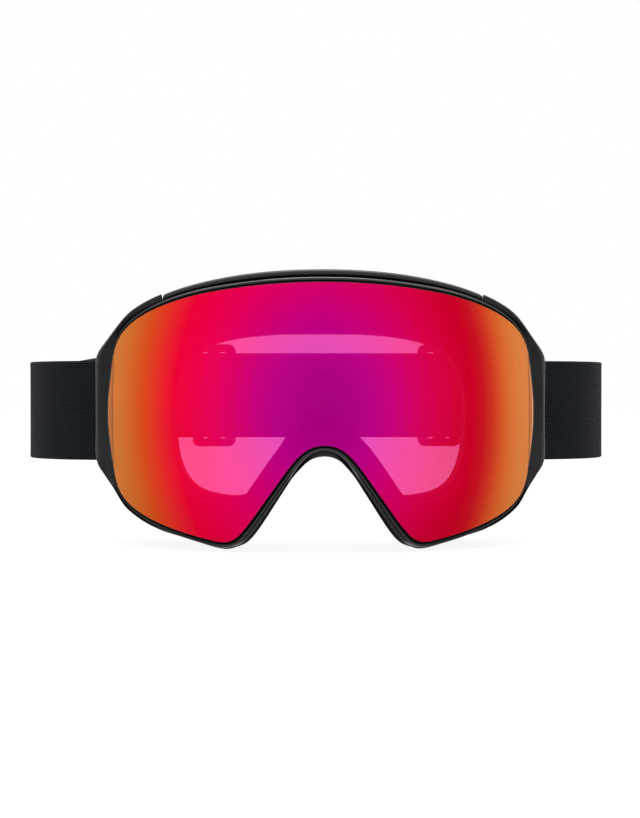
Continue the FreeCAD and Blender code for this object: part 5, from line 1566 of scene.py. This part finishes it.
# ---------------------------------------------------------------- carried-over CAD pieces
def keep(node, mat, bevel=0.3, seg=3, angle=32):
    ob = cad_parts[node]
    ob.data.materials.clear()
    ob.data.materials.append(MATS[mat])
    for s_ in ob.material_slots:
        s_.link = "OBJECT"
        s_.material = MATS[mat]
    weld = ob.modifiers.new("weld", "WELD")
    weld.merge_threshold = 2e-6
    flat = ob.modifiers.new("planar", "DECIMATE")
    flat.decimate_type = "DISSOLVE"
    flat.angle_limit = math.radians(1.0)
    if bevel:
        b = ob.modifiers.new("edges", "BEVEL")
        b.limit_method = "ANGLE"
        b.angle_limit = math.radians(angle)
        b.width = bevel * M
        b.segments = seg
        b.use_clamp_overlap = True
        b.harden_normals = False
    ob.data.polygons.foreach_set("use_smooth", [True] * len(ob.data.polygons))
    ob.data.set_sharp_from_angle(angle=math.radians(180))
    wn = ob.modifiers.new("weighted", "WEIGHTED_NORMAL")
    wn.keep_sharp = True
    return ob


for side in ("left", "right"):
    keep("outrigger_" + side, "hardware_plastic", 0.35)
    keep("slider_" + side, "hardware_plastic", 0.55)
    keep("hinge_pin_" + side, "pin_steel", 0.2)
    keep("strap_bar_" + side, "pin_steel", 0.25)
for n_ in ("lens_magnets", "frame_magnets", "mask_magnets"):
    keep(n_, "magnet_steel", 0.18)

# ---------------------------------------------------------------- stage, light, camera
def white_floor():
    k = Mat("floor_white")
    d = k.principled(Roughness=0.9, Specular_IOR_Level=0.1)
    n = k.noise(6.0)
    k.link(k.mix(n, (0.93, 0.93, 0.93, 1), (0.95, 0.95, 0.95, 1)), d.inputs["Base Color"])
    seen = k.node("ShaderNodeEmission")
    bounce = k.node("ShaderNodeEmission")
    bounce.inputs["Strength"].default_value = 0.98
    lift = k.node("ShaderNodeMixShader")
    lift.inputs[0].default_value = 0.9
    k.link(d.outputs[0], lift.inputs[1])
    k.link(seen.outputs[0], lift.inputs[2])
    path = k.node("ShaderNodeLightPath")
    m = k.node("ShaderNodeMixShader")
    k.link(path.outputs["Is Camera Ray"], m.inputs[0])
    k.link(bounce.outputs[0], m.inputs[1])
    k.link(lift.outputs[0], m.inputs[2])
    return k.surface(m.outputs[0])


me = bpy.data.meshes.new("floor")
fz = cad_lo.z - 0.0005
me.from_pydata([(-6, -6, fz), (6, -6, fz), (6, 6, fz), (-6, 6, fz)], [], [(0, 1, 2, 3)])
floor = bpy.data.objects.new("floor", me)
scene.collection.objects.link(floor)
floor.data.materials.append(white_floor())

world = bpy.data.worlds.new("studio")
scene.world = world
world.use_nodes = True
wt = world.node_tree
wt.nodes.clear()


def wnode(kind, **values):
    n = wt.nodes.new(kind)
    for key, value in values.items():
        setattr(n, key, value)
    return n


bg_cam, bg = wnode("ShaderNodeBackground"), wnode("ShaderNodeBackground")
bg_cam.inputs[0].default_value = bg.inputs[0].default_value = (1, 1, 1, 1)
coord, sep_w = wnode("ShaderNodeTexCoord"), wnode("ShaderNodeSeparateXYZ")
wt.links.new(coord.outputs["Generated"], sep_w.inputs[0])
sky = wnode("ShaderNodeValToRGB")
e_ = sky.color_ramp.elements
e_[0].position, e_[0].color = 0.0, (0.72, 0.72, 0.72, 1)
e_[1].position, e_[1].color = 0.30, (0.985, 0.985, 0.985, 1)
for pos_, val in ((0.49, 1.08), (0.53, 1.0), (0.70, 0.985), (0.86, 1.6), (1.0, 2.1)):
    q_ = e_.new(pos_)
    q_.color = (val, val, val, 1)
half_ = wnode("ShaderNodeMath", operation="MULTIPLY_ADD")
half_.inputs[1].default_value = half_.inputs[2].default_value = 0.5
wt.links.new(sep_w.outputs[2], half_.inputs[0])
wt.links.new(half_.outputs[0], sky.inputs["Fac"])
wt.links.new(sky.outputs["Color"], bg.inputs[0])
lp_ = wnode("ShaderNodeLightPath")
mx, wo = wnode("ShaderNodeMixShader"), wnode("ShaderNodeOutputWorld")
wt.links.new(lp_.outputs["Is Camera Ray"], mx.inputs[0])
wt.links.new(bg.outputs[0], mx.inputs[1])
wt.links.new(bg_cam.outputs[0], mx.inputs[2])
wt.links.new(mx.outputs[0], wo.inputs[0])


def area(name, loc, target, size, power, sizey=None):
    ld = bpy.data.lights.new(name, "AREA")
    ld.shape = "RECTANGLE"
    ld.size, ld.size_y = size, sizey or size
    ld.energy = power
    lo_ = bpy.data.objects.new(name, ld)
    scene.collection.objects.link(lo_)
    lo_.location = loc
    lo_.rotation_euler = (Vector(target) - Vector(loc)).to_track_quat("-Z", "Y").to_euler()
    return lo_


aim = (0, -0.06, 0)
area("top_soft", (0.0, -0.12, 0.75), aim, 0.5, 5.2, 0.3)
area("left_rear_soft", (-0.55, 0.42, 0.12), aim, 0.3, 0.5, 0.6)
area("right_rear_soft", (0.55, 0.42, 0.12), aim, 0.3, 0.5, 0.6)
area("upper_left_soft", (0.5, -0.1, 0.62), aim, 0.35, 1.6, 0.35)
area("upper_right_soft", (-0.5, -0.1, 0.62), aim, 0.35, 1.6, 0.35)
scene.view_settings.view_transform = "Standard"
scene.view_settings.look = "None"

cam_data = bpy.data.cameras.new("camera")
cam_data.lens = 36.0 * 1717 / 818
cam_data.sensor_width = 36.0
cam_data.shift_x = -0.0016
cam = bpy.data.objects.new("camera", cam_data)
scene.collection.objects.link(cam)
az, el, dist = math.radians(-1.6), math.radians(0.5), 0.685
back_dir = Vector((math.sin(az) * math.cos(el), -math.cos(az) * math.cos(el), math.sin(el)))
target = Vector((0.0, (45.0 - OY) * M, (0.0 - OZ) * M))
cam.location = target + back_dir * dist
cam.rotation_mode = "QUATERNION"
cam.rotation_quaternion = (-back_dir).to_track_quat("-Z", "Y")
cam_data.clip_start, cam_data.clip_end = 0.01, 50
scene.camera = cam
